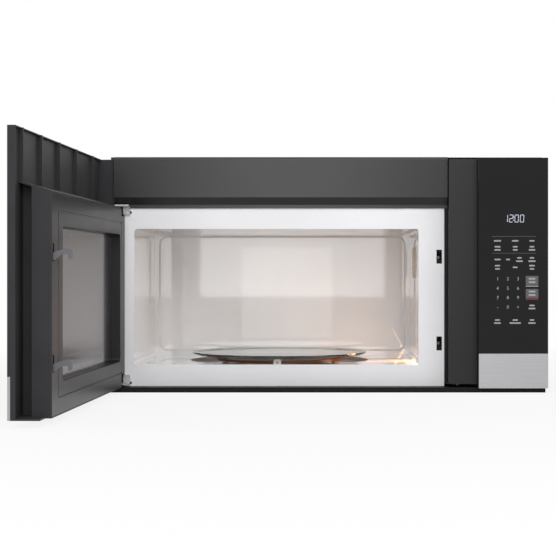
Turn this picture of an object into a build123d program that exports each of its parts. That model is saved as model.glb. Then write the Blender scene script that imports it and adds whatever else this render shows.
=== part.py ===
"""Over the range microwave oven, shown with its door open.

Frame: millimetres, +Z up. The origin is on the wall face, at the middle of its
bottom edge. The front of the oven faces -Y. The door pieces are drawn closed
and then swung about the hinge pins to the angle at which the oven is shown.
"""
from build123d import *
import math
import os

os.makedirs("parts", exist_ok=True)

# ---------------------------------------------------------------- sizes
# Overall. A 759 mm body fills a 762 mm (30 in) gap between wall cabinets.
WIDTH = 759.0
HEIGHT = 410.0
DEPTH = 404.0
SHEET = 1.0                 # sheet steel of the casing and the cavity
WALL = 2.5                  # moulded walls
RUNNING = 0.05              # radial clearance of a shaft in its bearing
MOVING_GAP = 0.4            # clearance between pieces that pass each other
SIDES = 16                  # flats of a hidden round housing

# Casing
CASE_INSET = 1.5            # the casing stands in from the fascia on each side
CASE_BEND = 2.0             # cut of each bent corner
BASE_HEIGHT = 9.0
BASE_SETBACK = 22.0         # base front behind the front plane
BASE_DECK = 42.0            # depth of the hollow nose under the door
FLANGE = 10.0
TOP_MARGIN = 4.4            # casing above the door and the control panel
SCREW_R = 2.0
SCREW_HEAD_R = 4.4
SCREW_HEAD_T = 2.4
CASE_SCREW_SPACING = 520.0

# Front of the oven, from right to left
PANEL_WIDTH = 120.0
PANEL_EDGE = 0.5            # frame seen left of the control glass
STRIP_WIDTH = 48.5          # finger strip beside the panel
CHANNEL_WIDTH = 6.2         # dark channel beside the front plate
SPLIT_GAP = 0.5             # vent panel to control panel
DOOR_EDGE_GAP = 17.1        # free edge of the door to the control panel
BOX_OVERLAP = 2.7           # door box past the right edge of the front plate
OPENING_MARGIN_RIGHT = 45.1
OPENING_MARGIN_LEFT = 40.5
PLATE_MARGIN_LEFT = 23.5

# Front of the oven, from top to bottom
PLATE_DROP = 89.5           # top of the casing to the front plate
OPENING_MARGIN_TOP = 35.9
OPENING_MARGIN_BOTTOM = 37.6
BOX_CLEARANCE = 1.2         # door box under the vent panel
TRIM_TOP = 68.5
TRIM_T = 2.0

# Door, measured back from the front plane
DOOR_THICKNESS = 52.4
DOOR_GAP = 0.6
DOOR_BOX_RISE = 14.0        # the top of the box climbs this much towards the skin
GLASS = 4.0
GLASS_BEVEL = 0.6
SKIN = 2.5
RIM_DEPTH = 11.0
RIM_WALL = 1.5
END_WALL_DEPTH = 31.3
END_NOTCH = 6.5             # room in the vent panel for that wall as the door swings
GRIP_DEPTH = 25.0           # depth of the finger pocket behind the free edge
GRIP_UNDERCUT = 28.0
LIP_DEPTH = 44.0
RIB_T = 3.0
RIB_DEPTH = 6.5
RIB_SHARES = (0.938, 0.755, 0.562, 0.356, 0.134)   # rib places along the door
BOX_INSET = 2.5             # box behind the skin, at the hinge side
BOX_ROUND = 8.0
BOX_EDGE = 2.0
HINGE_POST = 10.0
COVER_T = 2.5

# Hinge
PIVOT_INSET = 10.5
PIVOT_FROM_BACK = 14.4      # hinge axis in front of the rear face of the door
PIN_R = 3.0
BUSH_R = 5.0
PIN_LENGTH = 11.0
PIN_END_GAP = 1.0
OPEN_ANGLE = 92.0
HINGE_LEAF = 2.6
HINGE_TAB = 3.0
HINGE_TAB_R = 7.2
HINGE_FOOT_LEFT = 11.0      # hinge foot, right of the pivot
HINGE_FOOT_WIDTH = 12.0
HINGE_FOOT_HEIGHT = 8.0
HINGE_FOOT_T = 3.4
HINGE_HEIGHT = 17.0
HINGE_ABOVE_PLATE = 5.9     # outer face of the upper tab above the front plate
HINGE_ABOVE_BASE = 3.0
HINGE_BOSS = 15.0
HINGE_SWEEP = 26.5          # room round the pin for the hinge tab as the door swings

# Window of the door
WINDOW_MARGIN_LEFT = 49.5
WINDOW_MARGIN_RIGHT = 70.5
WINDOW_MARGIN_TOP = 45.9
WINDOW_MARGIN_BOTTOM = 45.4
WINDOW_ROUND = 6.0
WINDOW_LAP = 1.0            # window and screen past the edge of the hole
GROOVE_OUT_X = 14.0
GROOVE_RIGHT_X = 28.0
GROOVE_OUT_Z = 21.0
GROOVE = 2.0
SCREEN_FROM_BACK = 18.0
SCREEN_T = 0.6
SCREEN_LAP = 3.0
WINDOW_T = 2.0
CHOKE_LIP = 12.0
CHOKE_LAP = 4.0
CHOKE_SLOT = 6.0
CHOKE_PITCH = 60.0

# Cavity
OPENING_ROUND = 5.0
LINER_STEP = 3.0            # the liner stands outside the opening by this
LINER_ROUND = 8.0
REAR_SPACE = 12.0           # wall face to the back panel of the cavity
BACK_PRESS = 3.0            # pressed depth of the back panel
BACK_BORDER_X = 8.0
BACK_BORDER_Z = 7.0
BACK_ROUND = 17.0
PRESS_ANGLE = 50.0

# Turntable
TRAY_GAP = 9.0              # tray rim to the back and the front of the cavity
TABLE_SETBACK = 1.0         # turntable behind the middle of the cavity
TRAY_T = 4.0
TRAY_RIM = 6.0
TRAY_RIM_WIDTH = 12.0
TRAY_EDGE = 2.0
ROLLER_GAP = 0.6            # rollers to the tray
TRACK_INSET = 41.0          # roller track inside the rim of the tray
ROLLER_R = 7.0
ROLLER_WIDTH = 9.0
AXLE_R = 1.5
AXLE_END = 1.5
RING_WIDTH = 8.0
RING_T = 4.0
RECESS_MARGIN = 3.0
RECESS_DEPTH = 5.6
COUPLER_R = 16.0
COUPLER_HUB_R = 8.0
COUPLER_ARM = 6.0
COUPLER_LIFT = 2.0
COUPLER_ARMS = 3
SHAFT_R = 3.0
LUG_LENGTH = 2.8
TABLE_MOTOR_R = 25.0
TABLE_MOTOR_T = 19.0
TABLE_MOTOR_EAR = 8.0
TABLE_MOTOR_EAR_WIDTH = 12.0

# Latch
LATCH_INSET = 8.8           # hooks left of the right edge of the front plate
LATCH_UPPER_DROP = 48.8     # upper hook under the top of the opening
LATCH_LOWER_RISE = 37.0     # lower hook over the bottom of the opening
LATCH_SLOT_WIDTH = 9.5
LATCH_SLOT_HEIGHT = 24.4
HOOK_T = 6.0
HOOK_REACH = 26.0           # heights of the hook are from the middle of its slot
HOOK_BURY = 6.0
HOOK_ROOT = 10.5
HOOK_SHOULDER = 3.0
HOOK_TOP = 5.2
HOOK_BEND = 15.0
HOOK_NOSE = 2.0
HOOK_TIP = 9.5
HOOK_TIP_T = 5.2
HOOK_THROAT = 3.2
HOOK_THROAT_START = 11.0
SLIDER_FROM_BACK = 13.4
SLIDER_T = 8.0
SLIDER_WIDTH = 8.5
SLIDER_REACH = 26.0         # bar beyond each hook
SPRING_LENGTH = 22.0
SPRING_R = 3.2
SPRING_WIRE_R = 0.5
PLUNGER = 5.0
PLUNGER_LENGTH = 21.0
PLUNGER_TRAVEL = 3.0
PLUNGER_DROP = 1.0
PLUNGER_NOSE = 1.0
SWITCH_LENGTH = 28.0
SWITCH_HEIGHT = 16.0
SWITCH_WIDTH = 10.0
SWITCH_DROP = 11.5
MONITOR_DEPTH = 20.0
LEDGE_GAP = 12.8            # rear face of the door to the ledge behind the hook
LEDGE_T = 7.4
LEDGE_DROP = 4.8
LEDGE_RAMP = 1.0
LEDGE_BOTTOM = 16.0
BRACKET_SIDE = 16.0
BRACKET_END = 24.0
GUIDE_BACK = 8.0
GUIDE_T = 6.0
GUIDE_REACH = 7.0

# Top vent panel, depths from the front plate
VENT_STAND = 11.0           # fascia in front of the front plate
VENT_LIP_STAND = 3.0
VENT_LIP_BACK = 5.0
VENT_DECK = 47.0
VENT_LIP_GAP = 0.1
VENT_LIP = 4.0
VENT_GROOVE = 2.0
VENT_GROOVE_HEIGHT = 2.3
VENT_SLOPE = 12.6
VENT_ROUND = 4.0
VENT_SIDE_GAP = 8.0
VENT_SLOT_PITCH = 20.0
VENT_SLOT_WIDTH = 12.0
VENT_SLOT_LENGTH = 34.0

# Control panel
STRIP_DEPTH = 26.0
STRIP_FOOT = 5.5            # strip above the base
CHANNEL_FOOT = 3.8
CHANNEL_ROUND = 3.0
PANEL_LAP = 2.0             # panel behind the face of the front plate
SENSOR_T = 0.4
SENSOR_MARGIN = 15.0
SENSOR_BOTTOM = 130.0
SENSOR_TOP_MARGIN = 85.6
DISPLAY_OFFSET = 5.8
DISPLAY_DROP = 104.7
DISPLAY_WIDTH = 44.0
DISPLAY_HEIGHT = 22.0
BOARD_DEPTH = 21.0
BOARD_T = 1.6
BOARD_BOTTOM = 90.0
POST = 6.0
RELAY_X = 25.0
RELAY_Z = 150.0
RELAY_WIDTH = 16.0
RELAY_LENGTH = 22.0
RELAY_PITCH_X = 24.0
RELAY_PITCH_Z = 30.0
RELAY_T = 18.0
SUPPLY_X = 15.0
SUPPLY_DROP = 75.6
SUPPLY_WIDTH = 42.0
SUPPLY_LENGTH = 36.0
CELL_Z = 240.0
CELL_SIZE = 12.0
CELL_PITCH = 22.0
CELL_T = 14.0

# Duct and ventilation
EXHAUST_WIDTH = 254.0       # 3 1/4 x 10 in duct
EXHAUST_LENGTH = 82.6
EXHAUST_BACK = 13.0         # wall face to the duct
COLLAR_HEIGHT = 20.0
COLLAR_T = 1.0
COLLAR_FLANGE = 9.0
DAMPER_T = 1.0
DAMPER_PIN_R = 1.5
DAMPER_INSET = 3.0
DAMPER_HEIGHT = 8.0
DAMPER_GAP = 2.0
DAMPER_RIB = 8.0
DAMPER_RIB_T = 1.8
DAMPER_RIB_END = 20.0
BLOWER_OFFSET = 63.7        # blower in front of the duct
BLOWER_CLEARANCE = 10.2     # scroll to the cavity and to the top
SCROLL_GAP = 12.0
SCROLL_SIDE = 2.0
OUTLET_DEPTH = 34.0
TIE_DEPTH = 12.0
WHEEL_LENGTH = 78.0
WHEEL_BLADES = 12
WHEEL_RIM = 2.0
BLADE_T = 1.2
BLADE_DEPTH = 8.0
BLADE_INSET = 0.5
BLADE_ANGLE = 35.0
BLOWER_MOTOR_LENGTH = 56.0
BLOWER_MOTOR_GAP = 4.0
MOTOR_ARM = 8.0
BLOWER_SHAFT_R = 4.0
CHARCOAL_WIDTH = 440.0
CHARCOAL_T = 14.0
CHARCOAL_FRAME = 10.0
FILTER_WIDTH = 250.0
FILTER_T = 7.0
FILTER_LEDGE = 6.0
FILTER_FRAME = 12.0
FILTER_PRESS = 1.5
FILTER_X = 130.0
FILTER_REAR = 32.0
FILTER_LAMP_GAP = 47.0
LAMP_X = 190.0
LAMP_SETBACK = 119.0
LENS_WIDTH = 100.0
LENS_LENGTH = 60.0
LENS_T = 3.0
LENS_LEDGE = 5.0
LAMP_LIFT = 16.0
LAMP_PLATE = 34.0
LAMP_PLATE_T = 6.0
LAMP_INSET = 7.0
LAMP_CHIP = 12.0
LAMP_CHIP_PITCH = 24.0
LAMP_LEG = 4.0
LAMP_LEG_WIDTH = 20.0

# Waveguide, magnetron and power parts
GUIDE_OFFSET = 3.0          # waveguide behind the turntable's middle
MOUTH_DROP = 58.6           # middle of the mouth under the top of the opening
MOUTH_WIDTH = 80.0
MOUTH_HEIGHT = 36.0
MOUTH_LAP_X = 12.0
MOUTH_LAP_Z = 10.0
GUIDE_WALL = 5.0
GUIDE_DEPTH = 38.0
GUIDE_ABOVE = 24.0
GUIDE_BELOW = 96.0
GUIDE_BEVEL = 20.0
TUBE_DROP = 61.0
TUBE_WIDTH = 84.0
TUBE_HEIGHT = 66.0
TUBE_LENGTH = 76.0
YOKE_T = 2.0
ANODE = 34.0
MAGNET_R = 28.0
MAGNET_T = 12.0
FINS = 5
FIN_T = 1.0
FIN_PITCH = 8.0
FILTER_BOX = 50.0
FILTER_BOX_LENGTH = 26.0
POWER_INSET = 74.5          # transformer and fan from the right side
CORE_SETBACK = 119.0
CORE_WIDTH = 104.0
CORE_LENGTH = 62.0
CORE_HEIGHT = 88.0
COIL_WIDTH = 84.0
COIL_LENGTH = 100.0
COIL_LIFT = 16.0
COIL_HEIGHT = 56.0
COIL_BEVEL = 12.0
CORE_FOOT = 8.0
CORE_FOOT_T = 2.0
CAPACITOR_INSET = 79.5
CAPACITOR_REAR = 120.0
CAPACITOR_WIDTH = 54.0
CAPACITOR_LENGTH = 34.0
CAPACITOR_HEIGHT = 92.0
TAB_PITCH = 22.0
TAB_WIDTH = 6.3
TAB_T = 0.8
TAB_HEIGHT = 10.0
NOISE_LEFT = 55.0
NOISE_FRONT = 30.0
NOISE_WIDTH = 60.0
NOISE_LENGTH = 80.0
NOISE_DROP = 22.0
NOISE_POST = 5.0
NOISE_COIL = 30.0
NOISE_COIL_HOLE = 14.0
FAN_Z = 175.0
FAN_REAR = 62.0
FAN_PLATE = 140.0
FAN_LEG = 80.0
FAN_HOLE_R = 62.0
FAN_PLATE_T = 2.0
FAN_ARM = 8.0
FAN_ARM_BACK = 16.0
FAN_HUB_R = 16.0
FAN_HUB_T = 11.0
FAN_SHAFT_R = 2.0
FAN_BLADES = 5
FAN_BLADE_WIDTH = 26.0
FAN_BLADE_T = 1.4
FAN_BLADE_END = 58.0
FAN_PITCH = 22.0
FAN_MOTOR_WIDTH = 50.0
FAN_MOTOR_HEIGHT = 60.0
FAN_MOTOR_T = 26.0
CAVITY_LAMP_FORWARD = 47.0
CAVITY_LAMP_GAP = 25.0      # lamp under the waveguide
CAVITY_LAMP_WIDTH = 40.0
CAVITY_LAMP_HEIGHT = 30.0
CAVITY_LAMP_T = 14.0
BULB_R = 9.0
BULB_LENGTH = 18.0

# Mounting
TOP_BOLT_SPACING = 584.2    # 23 in between the bolts to the upper cabinet
TOP_BOLT_SETBACK = 118.0
TOP_BOLT_R = 3.5
HOOK_SLOT_WIDTH = 32.0
HOOK_SLOT_HEIGHT = 6.0
HOOK_SLOT_Z = 24.0
HOOK_SLOT_SPACING = 190.0
CORD_INSET = 49.5
CORD_REAR = 40.0
CORD_R = 6.0
BUSHING_R = 10.0
BUSHING_FLANGE_R = 14.0
BUSHING_FLANGE_T = 3.0
BUSHING_LENGTH = 12.0

# ------------------------------------------------------- derived places
FRONT = -DEPTH
LEFT = -WIDTH / 2
RIGHT = WIDTH / 2
CASE_RIGHT = RIGHT - CASE_INSET
CASE_LEFT = -CASE_RIGHT
TOP_INSIDE = HEIGHT - SHEET
FRONT_TOP = HEIGHT - TOP_MARGIN
DOOR_BOTTOM = BASE_HEIGHT + DOOR_GAP
CONTROL_LEFT = RIGHT - PANEL_WIDTH
CONTROL_GLASS_LEFT = CONTROL_LEFT + PANEL_EDGE
STRIP_LEFT = CONTROL_LEFT - STRIP_WIDTH
FRONT_PLATE_RIGHT = STRIP_LEFT - CHANNEL_WIDTH
FRONT_PLATE_LEFT = LEFT + PLATE_MARGIN_LEFT
FLANGE_SEAM = 1.2           # seam between the flange of the casing and the front plate
FRONT_PLATE_TOP = HEIGHT - PLATE_DROP
DOOR_RIGHT = CONTROL_LEFT - DOOR_EDGE_GAP
DOOR_BOX_RIGHT = FRONT_PLATE_RIGHT + BOX_OVERLAP
VENT_SPLIT_X = STRIP_LEFT - SPLIT_GAP
VENT_LIP_BOTTOM = FRONT_PLATE_TOP + VENT_LIP_GAP
VENT_LIP_TOP = VENT_LIP_BOTTOM + VENT_LIP
VENT_SLOPE_BOTTOM = VENT_LIP_TOP + VENT_GROOVE_HEIGHT
VENT_FACE_BOTTOM = VENT_SLOPE_BOTTOM + VENT_SLOPE
DOOR_BOX_TOP = VENT_LIP_BOTTOM - BOX_CLEARANCE
PLATE_DEPTH = DOOR_THICKNESS + DOOR_GAP
PLATE = FRONT + PLATE_DEPTH
VENT_DEPTH = PLATE_DEPTH - VENT_STAND
VENT_SLOPE_DEPTH = PLATE_DEPTH - VENT_LIP_STAND
VENT_LIP_DEPTH = PLATE_DEPTH + VENT_LIP_BACK
VENT_DECK_DEPTH = PLATE_DEPTH + VENT_DECK
CONTROL_BACK = PLATE_DEPTH + PANEL_LAP
CAVITY_LEFT = LEFT + OPENING_MARGIN_LEFT
CAVITY_RIGHT = FRONT_PLATE_RIGHT - OPENING_MARGIN_RIGHT
CAVITY_X = (CAVITY_LEFT + CAVITY_RIGHT) / 2
OPENING_WIDTH = CAVITY_RIGHT - CAVITY_LEFT
OPENING_BOTTOM = BASE_HEIGHT + OPENING_MARGIN_BOTTOM
OPENING_TOP = FRONT_PLATE_TOP - OPENING_MARGIN_TOP
OPENING_HEIGHT = OPENING_TOP - OPENING_BOTTOM
OPENING_Z = OPENING_BOTTOM + OPENING_HEIGHT / 2
LINER_WIDTH = OPENING_WIDTH + 2 * LINER_STEP
FLOOR = OPENING_BOTTOM - SHEET
LINER_TOP = OPENING_TOP + LINER_STEP
LINER_HEIGHT = LINER_TOP - FLOOR
LINER_Z = FLOOR + LINER_HEIGHT / 2
LINER_RIGHT = CAVITY_X + LINER_WIDTH / 2
LINER_FRONT = PLATE + SHEET
BACK = -REAR_SPACE
CAVITY_DEPTH = BACK + BACK_PRESS - PLATE
TABLE_Y = PLATE + CAVITY_DEPTH / 2 + TABLE_SETBACK
TRAY_R = CAVITY_DEPTH / 2 - TRAY_GAP
TRACK_R = TRAY_R - TRACK_INSET
RECESS_R = TRAY_R + RECESS_MARGIN
TRACK = FLOOR - RECESS_DEPTH
ROLLER_Z = TRACK + ROLLER_R + MOVING_GAP / 2
TRAY_UNDERSIDE = ROLLER_Z + ROLLER_R + ROLLER_GAP
PIVOT_X = LEFT + PIVOT_INSET
PIVOT_DEPTH = DOOR_THICKNESS - PIVOT_FROM_BACK
PIVOT_Y = FRONT + PIVOT_DEPTH
HINGE_UPPER_Z = FRONT_PLATE_TOP + HINGE_ABOVE_PLATE
HINGE_LOWER_Z = BASE_HEIGHT + HINGE_ABOVE_BASE
LATCH_X = FRONT_PLATE_RIGHT - LATCH_INSET
LATCH_UPPER = OPENING_TOP - LATCH_UPPER_DROP
LATCH_LOWER = OPENING_BOTTOM + LATCH_LOWER_RISE
SLOTS_Z = (LATCH_UPPER, LATCH_LOWER)
WINDOW_LEFT = LEFT + WINDOW_MARGIN_LEFT
WINDOW_RIGHT = DOOR_BOX_RIGHT - WINDOW_MARGIN_RIGHT
WINDOW_BOTTOM = DOOR_BOTTOM + WINDOW_MARGIN_BOTTOM
WINDOW_TOP = DOOR_BOX_TOP - WINDOW_MARGIN_TOP
WINDOW_X = (WINDOW_LEFT + WINDOW_RIGHT) / 2
WINDOW_Z = (WINDOW_BOTTOM + WINDOW_TOP) / 2
WINDOW_WIDTH = WINDOW_RIGHT - WINDOW_LEFT
WINDOW_HEIGHT = WINDOW_TOP - WINDOW_BOTTOM
SCREEN_DEPTH = DOOR_THICKNESS - SCREEN_FROM_BACK
COVER_DEPTH = DOOR_THICKNESS - COVER_T
SLIDER_DEPTH = DOOR_THICKNESS - SLIDER_FROM_BACK
SLIDER_TOP = LATCH_UPPER + SLIDER_REACH
SPRING_SEAT = SLIDER_TOP + MOVING_GAP + SPRING_LENGTH
STRIP_BOTTOM = BASE_HEIGHT + STRIP_FOOT
CHANNEL_BOTTOM = BASE_HEIGHT + CHANNEL_FOOT
DISPLAY_X = (CONTROL_LEFT + RIGHT) / 2 + DISPLAY_OFFSET
DISPLAY_Z = FRONT_TOP - DISPLAY_DROP
BOARD_TOP = FRONT_TOP - 4 * WALL
EXHAUST_Y = -EXHAUST_BACK - EXHAUST_LENGTH / 2
BLOWER_ROOM = TOP_INSIDE - LINER_TOP - SHEET
BLOWER_R = BLOWER_ROOM / 2 - BLOWER_CLEARANCE
BLOWER_Y = EXHAUST_Y - BLOWER_OFFSET
BLOWER_Z = TOP_INSIDE - BLOWER_ROOM / 2
WHEEL_R = BLOWER_R - SCROLL_GAP
LAMP_Y = FRONT + LAMP_SETBACK
FILTER_FRONT = LAMP_Y + LENS_LENGTH / 2 + FILTER_LAMP_GAP
FILTER_LENGTH = -FILTER_REAR - FILTER_FRONT
FILTER_Y = FILTER_FRONT + FILTER_LENGTH / 2
TOP_BOLT_Y = FRONT + TOP_BOLT_SETBACK
CORD_X = RIGHT - CORD_INSET
CORD_Y = -CORD_REAR

hinge_axis = Axis((PIVOT_X, PIVOT_Y, 0), (0, 0, 1))


# -------------------------------------------------------------- helpers
def front_view(y):
    """Plane across the oven at place y: its x is X and its y is Z."""
    return Plane(origin=(0, y, 0), x_dir=(1, 0, 0), z_dir=(0, -1, 0))


def front_view_at(depth):
    """The same plane, placed by its depth behind the front plane."""
    return front_view(FRONT + depth)


def side_view(x):
    """Plane along the oven at place x: its x is Y and its y is Z."""
    return Plane(origin=(x, 0, 0), x_dir=(0, 1, 0), z_dir=(1, 0, 0))


def plan(z):
    """Level plane at height z."""
    return Plane.XY.offset(z)


def between(low_x, high_x, low_y, high_y, mode=Mode.ADD):
    """Rectangle between two corners of the sketch in progress."""
    with Locations(((low_x + high_x) / 2, (low_y + high_y) / 2)):
        Rectangle(high_x - low_x, high_y - low_y, mode=mode)


def block(centre_x, centre_y, width, height, mode=Mode.ADD):
    """Rectangle round a centre of the sketch in progress."""
    with Locations((centre_x, centre_y)):
        Rectangle(width, height, mode=mode)


def rounded(centre_x, centre_y, width, height, radius, mode=Mode.ADD):
    """Rounded rectangle of the sketch in progress."""
    with Locations((centre_x, centre_y)):
        RectangleRounded(width, height, radius, mode=mode)


def outline(*points):
    """Straight-sided face of the sketch in progress, through the points."""
    Polygon(*points, align=None)


def save(piece, label):
    """Name a finished piece and write it."""
    piece.label = label
    export_step(piece, f"parts/{label}.step")


def save_door(piece, label):
    """Swing a piece of the door to its shown angle, then name and write it."""
    save(piece.rotate(hinge_axis, -OPEN_ANGLE), label)


# ---------------------------------------------------------------- casing
with BuildPart() as cabinet_wrapper:
    inner_bend = CASE_BEND - SHEET / 2
    inside_right = CASE_RIGHT - SHEET
    with BuildSketch(front_view(0)):
        outline(
            (CASE_LEFT, BASE_HEIGHT), (CASE_LEFT, HEIGHT - CASE_BEND),
            (CASE_LEFT + CASE_BEND, HEIGHT), (CASE_RIGHT - CASE_BEND, HEIGHT),
            (CASE_RIGHT, HEIGHT - CASE_BEND), (CASE_RIGHT, BASE_HEIGHT),
            (inside_right, BASE_HEIGHT), (inside_right, TOP_INSIDE - inner_bend),
            (inside_right - inner_bend, TOP_INSIDE), (inner_bend - inside_right, TOP_INSIDE),
            (-inside_right, TOP_INSIDE - inner_bend), (-inside_right, BASE_HEIGHT),
        )
    extrude(amount=-PLATE)
    # return flange beside the front plate
    with BuildSketch(front_view(PLATE)):
        between(CASE_LEFT + SHEET, FRONT_PLATE_LEFT - FLANGE_SEAM, BASE_HEIGHT, VENT_LIP_BOTTOM)
    extrude(amount=-SHEET)
    # notch for the deck of the vent panel
    with BuildSketch(plan(HEIGHT - CASE_BEND)):
        between(CASE_LEFT + VENT_SIDE_GAP, VENT_SPLIT_X, PLATE, FRONT + VENT_DECK_DEPTH)
    extrude(amount=2 * CASE_BEND, mode=Mode.SUBTRACT)
    # duct opening, cabinet bolts, cord bushing and casing screws
    with BuildSketch(plan(HEIGHT)):
        block(0, EXHAUST_Y, EXHAUST_WIDTH, EXHAUST_LENGTH)
        with Locations((0, TOP_BOLT_Y)):
            with GridLocations(TOP_BOLT_SPACING, 0, 2, 1):
                Circle(TOP_BOLT_R)
        with Locations((CORD_X, CORD_Y)):
            Circle(BUSHING_R)
        with Locations((0, -FLANGE / 2)):
            with GridLocations(CASE_SCREW_SPACING, 0, 2, 1):
                Circle(SCREW_R)
    extrude(amount=-2 * SHEET, mode=Mode.SUBTRACT)
save(cabinet_wrapper.part, "cabinet_wrapper")

with BuildPart() as rear_panel:
    case_width = 2 * inside_right
    rear_height = TOP_INSIDE - BASE_HEIGHT
    rear_z = BASE_HEIGHT + rear_height / 2
    with BuildSketch(front_view(-FLANGE)) as pan:
        block(0, rear_z, case_width, rear_height)
        chamfer(pan.vertices().group_by(Axis.Y)[-1], inner_bend)
    extrude(amount=-FLANGE)
    with BuildSketch(front_view(-FLANGE)) as pan_inside:
        block(0, rear_z, case_width - 2 * SHEET, rear_height - 2 * SHEET)
        chamfer(pan_inside.vertices().group_by(Axis.Y)[-1], CASE_BEND - SHEET)
    extrude(amount=-(FLANGE - SHEET), mode=Mode.SUBTRACT)
    with BuildSketch(front_view(-SHEET)):
        with Locations((0, HOOK_SLOT_Z)):
            with GridLocations(HOOK_SLOT_SPACING, 0, 4, 1):
                Rectangle(HOOK_SLOT_WIDTH, HOOK_SLOT_HEIGHT)
    extrude(amount=-SHEET, mode=Mode.SUBTRACT)
    with BuildSketch(plan(TOP_INSIDE)):
        with Locations((0, -FLANGE / 2)):
            with GridLocations(CASE_SCREW_SPACING, 0, 2, 1):
                Circle(SCREW_R)
    extrude(amount=-SHEET, mode=Mode.SUBTRACT)
save(rear_panel.part, "rear_panel")

with BuildPart() as base_panel:
    nose = FRONT + BASE_SETBACK
    deck_end = nose + BASE_DECK
    with BuildSketch(side_view(CASE_LEFT)):
        outline(
            (nose, 0), (0, 0), (0, BASE_HEIGHT), (-SHEET, BASE_HEIGHT),
            (-SHEET, SHEET), (nose + SHEET, SHEET), (nose + SHEET, BASE_HEIGHT - SHEET),
            (deck_end, BASE_HEIGHT - SHEET), (deck_end, BASE_HEIGHT), (nose, BASE_HEIGHT),
        )
    extrude(amount=2 * CASE_RIGHT)
    for x in (CASE_LEFT, CASE_RIGHT - SHEET):
        with BuildSketch(side_view(x)):
            between(nose, 0, 0, BASE_HEIGHT)
        extrude(amount=SHEET)
    with BuildSketch(plan(0)):
        with Locations((0, FILTER_Y)):
            with GridLocations(2 * FILTER_X, 0, 2, 1):
                Rectangle(FILTER_WIDTH - 2 * FILTER_LEDGE, FILTER_LENGTH - 2 * FILTER_LEDGE)
        with Locations((0, LAMP_Y)):
            with GridLocations(2 * LAMP_X, 0, 2, 1):
                Rectangle(LENS_WIDTH - 2 * LENS_LEDGE, LENS_LENGTH - 2 * LENS_LEDGE)
    extrude(amount=SHEET, mode=Mode.SUBTRACT)
save(base_panel.part, "base_panel")

with BuildPart() as front_plate:
    with BuildSketch(front_view(PLATE)):
        between(FRONT_PLATE_LEFT, FRONT_PLATE_RIGHT, BASE_HEIGHT, FRONT_PLATE_TOP)
        rounded(CAVITY_X, OPENING_Z, OPENING_WIDTH, OPENING_HEIGHT, OPENING_ROUND, Mode.SUBTRACT)
        for slot_z in SLOTS_Z:
            block(LATCH_X, slot_z, LATCH_SLOT_WIDTH, LATCH_SLOT_HEIGHT, Mode.SUBTRACT)
    extrude(amount=-SHEET)
    with BuildSketch(front_view(PLATE + SHEET)):
        between(FRONT_PLATE_LEFT + SHEET, FRONT_PLATE_RIGHT - SHEET,
                FRONT_PLATE_TOP - SHEET, FRONT_PLATE_TOP)
    extrude(amount=-FLANGE)
save(front_plate.part, "front_plate")

guide_y = TABLE_Y + GUIDE_OFFSET
mouth_z = OPENING_TOP - MOUTH_DROP
wall_x = LINER_RIGHT + SHEET

with BuildPart() as cavity_liner:
    liner_length = BACK - LINER_FRONT
    with BuildSketch(front_view(LINER_FRONT)):
        rounded(CAVITY_X, LINER_Z, LINER_WIDTH + 2 * SHEET, LINER_HEIGHT + 2 * SHEET,
                LINER_ROUND + SHEET)
    extrude(amount=-liner_length)
    with BuildSketch(plan(FLOOR)):
        with Locations((CAVITY_X, TABLE_Y)):
            Circle(RECESS_R + SHEET)
    extrude(amount=-(RECESS_DEPTH + SHEET))
    with BuildSketch(front_view(LINER_FRONT)):
        rounded(CAVITY_X, LINER_Z, LINER_WIDTH, LINER_HEIGHT, LINER_ROUND)
    extrude(amount=-liner_length, mode=Mode.SUBTRACT)
    with BuildSketch(plan(FLOOR)):
        with Locations((CAVITY_X, TABLE_Y)):
            Circle(RECESS_R)
    extrude(amount=-RECESS_DEPTH, mode=Mode.SUBTRACT)
    with BuildSketch(plan(TRACK)):
        with Locations((CAVITY_X, TABLE_Y)):
            Circle(COUPLER_HUB_R + COUPLER_LIFT)
    extrude(amount=-SHEET, mode=Mode.SUBTRACT)
    # mouth of the waveguide
    with BuildSketch(side_view(LINER_RIGHT)):
        block(guide_y, mouth_z, MOUTH_WIDTH, MOUTH_HEIGHT)
    extrude(amount=SHEET, mode=Mode.SUBTRACT)
save(cavity_liner.part, "cavity_liner")

with BuildPart() as cavity_back:
    with BuildSketch(front_view(BACK)):
        rounded(CAVITY_X, LINER_Z, LINER_WIDTH + 2 * SHEET, LINER_HEIGHT + 2 * SHEET,
                LINER_ROUND + SHEET)
    extrude(amount=-SHEET)
    press_width = LINER_WIDTH - 2 * BACK_BORDER_X
    press_height = LINER_HEIGHT - 2 * BACK_BORDER_Z
    with BuildSketch(front_view(BACK)):
        rounded(CAVITY_X, LINER_Z, press_width + 2 * SHEET, press_height + 2 * SHEET,
                BACK_ROUND + SHEET)
    extrude(amount=-(BACK_PRESS + SHEET), taper=PRESS_ANGLE)
    with BuildSketch(front_view(BACK)):
        rounded(CAVITY_X, LINER_Z, press_width, press_height, BACK_ROUND)
    extrude(amount=-BACK_PRESS, taper=PRESS_ANGLE, mode=Mode.SUBTRACT)
save(cavity_back.part, "cavity_back")

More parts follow.
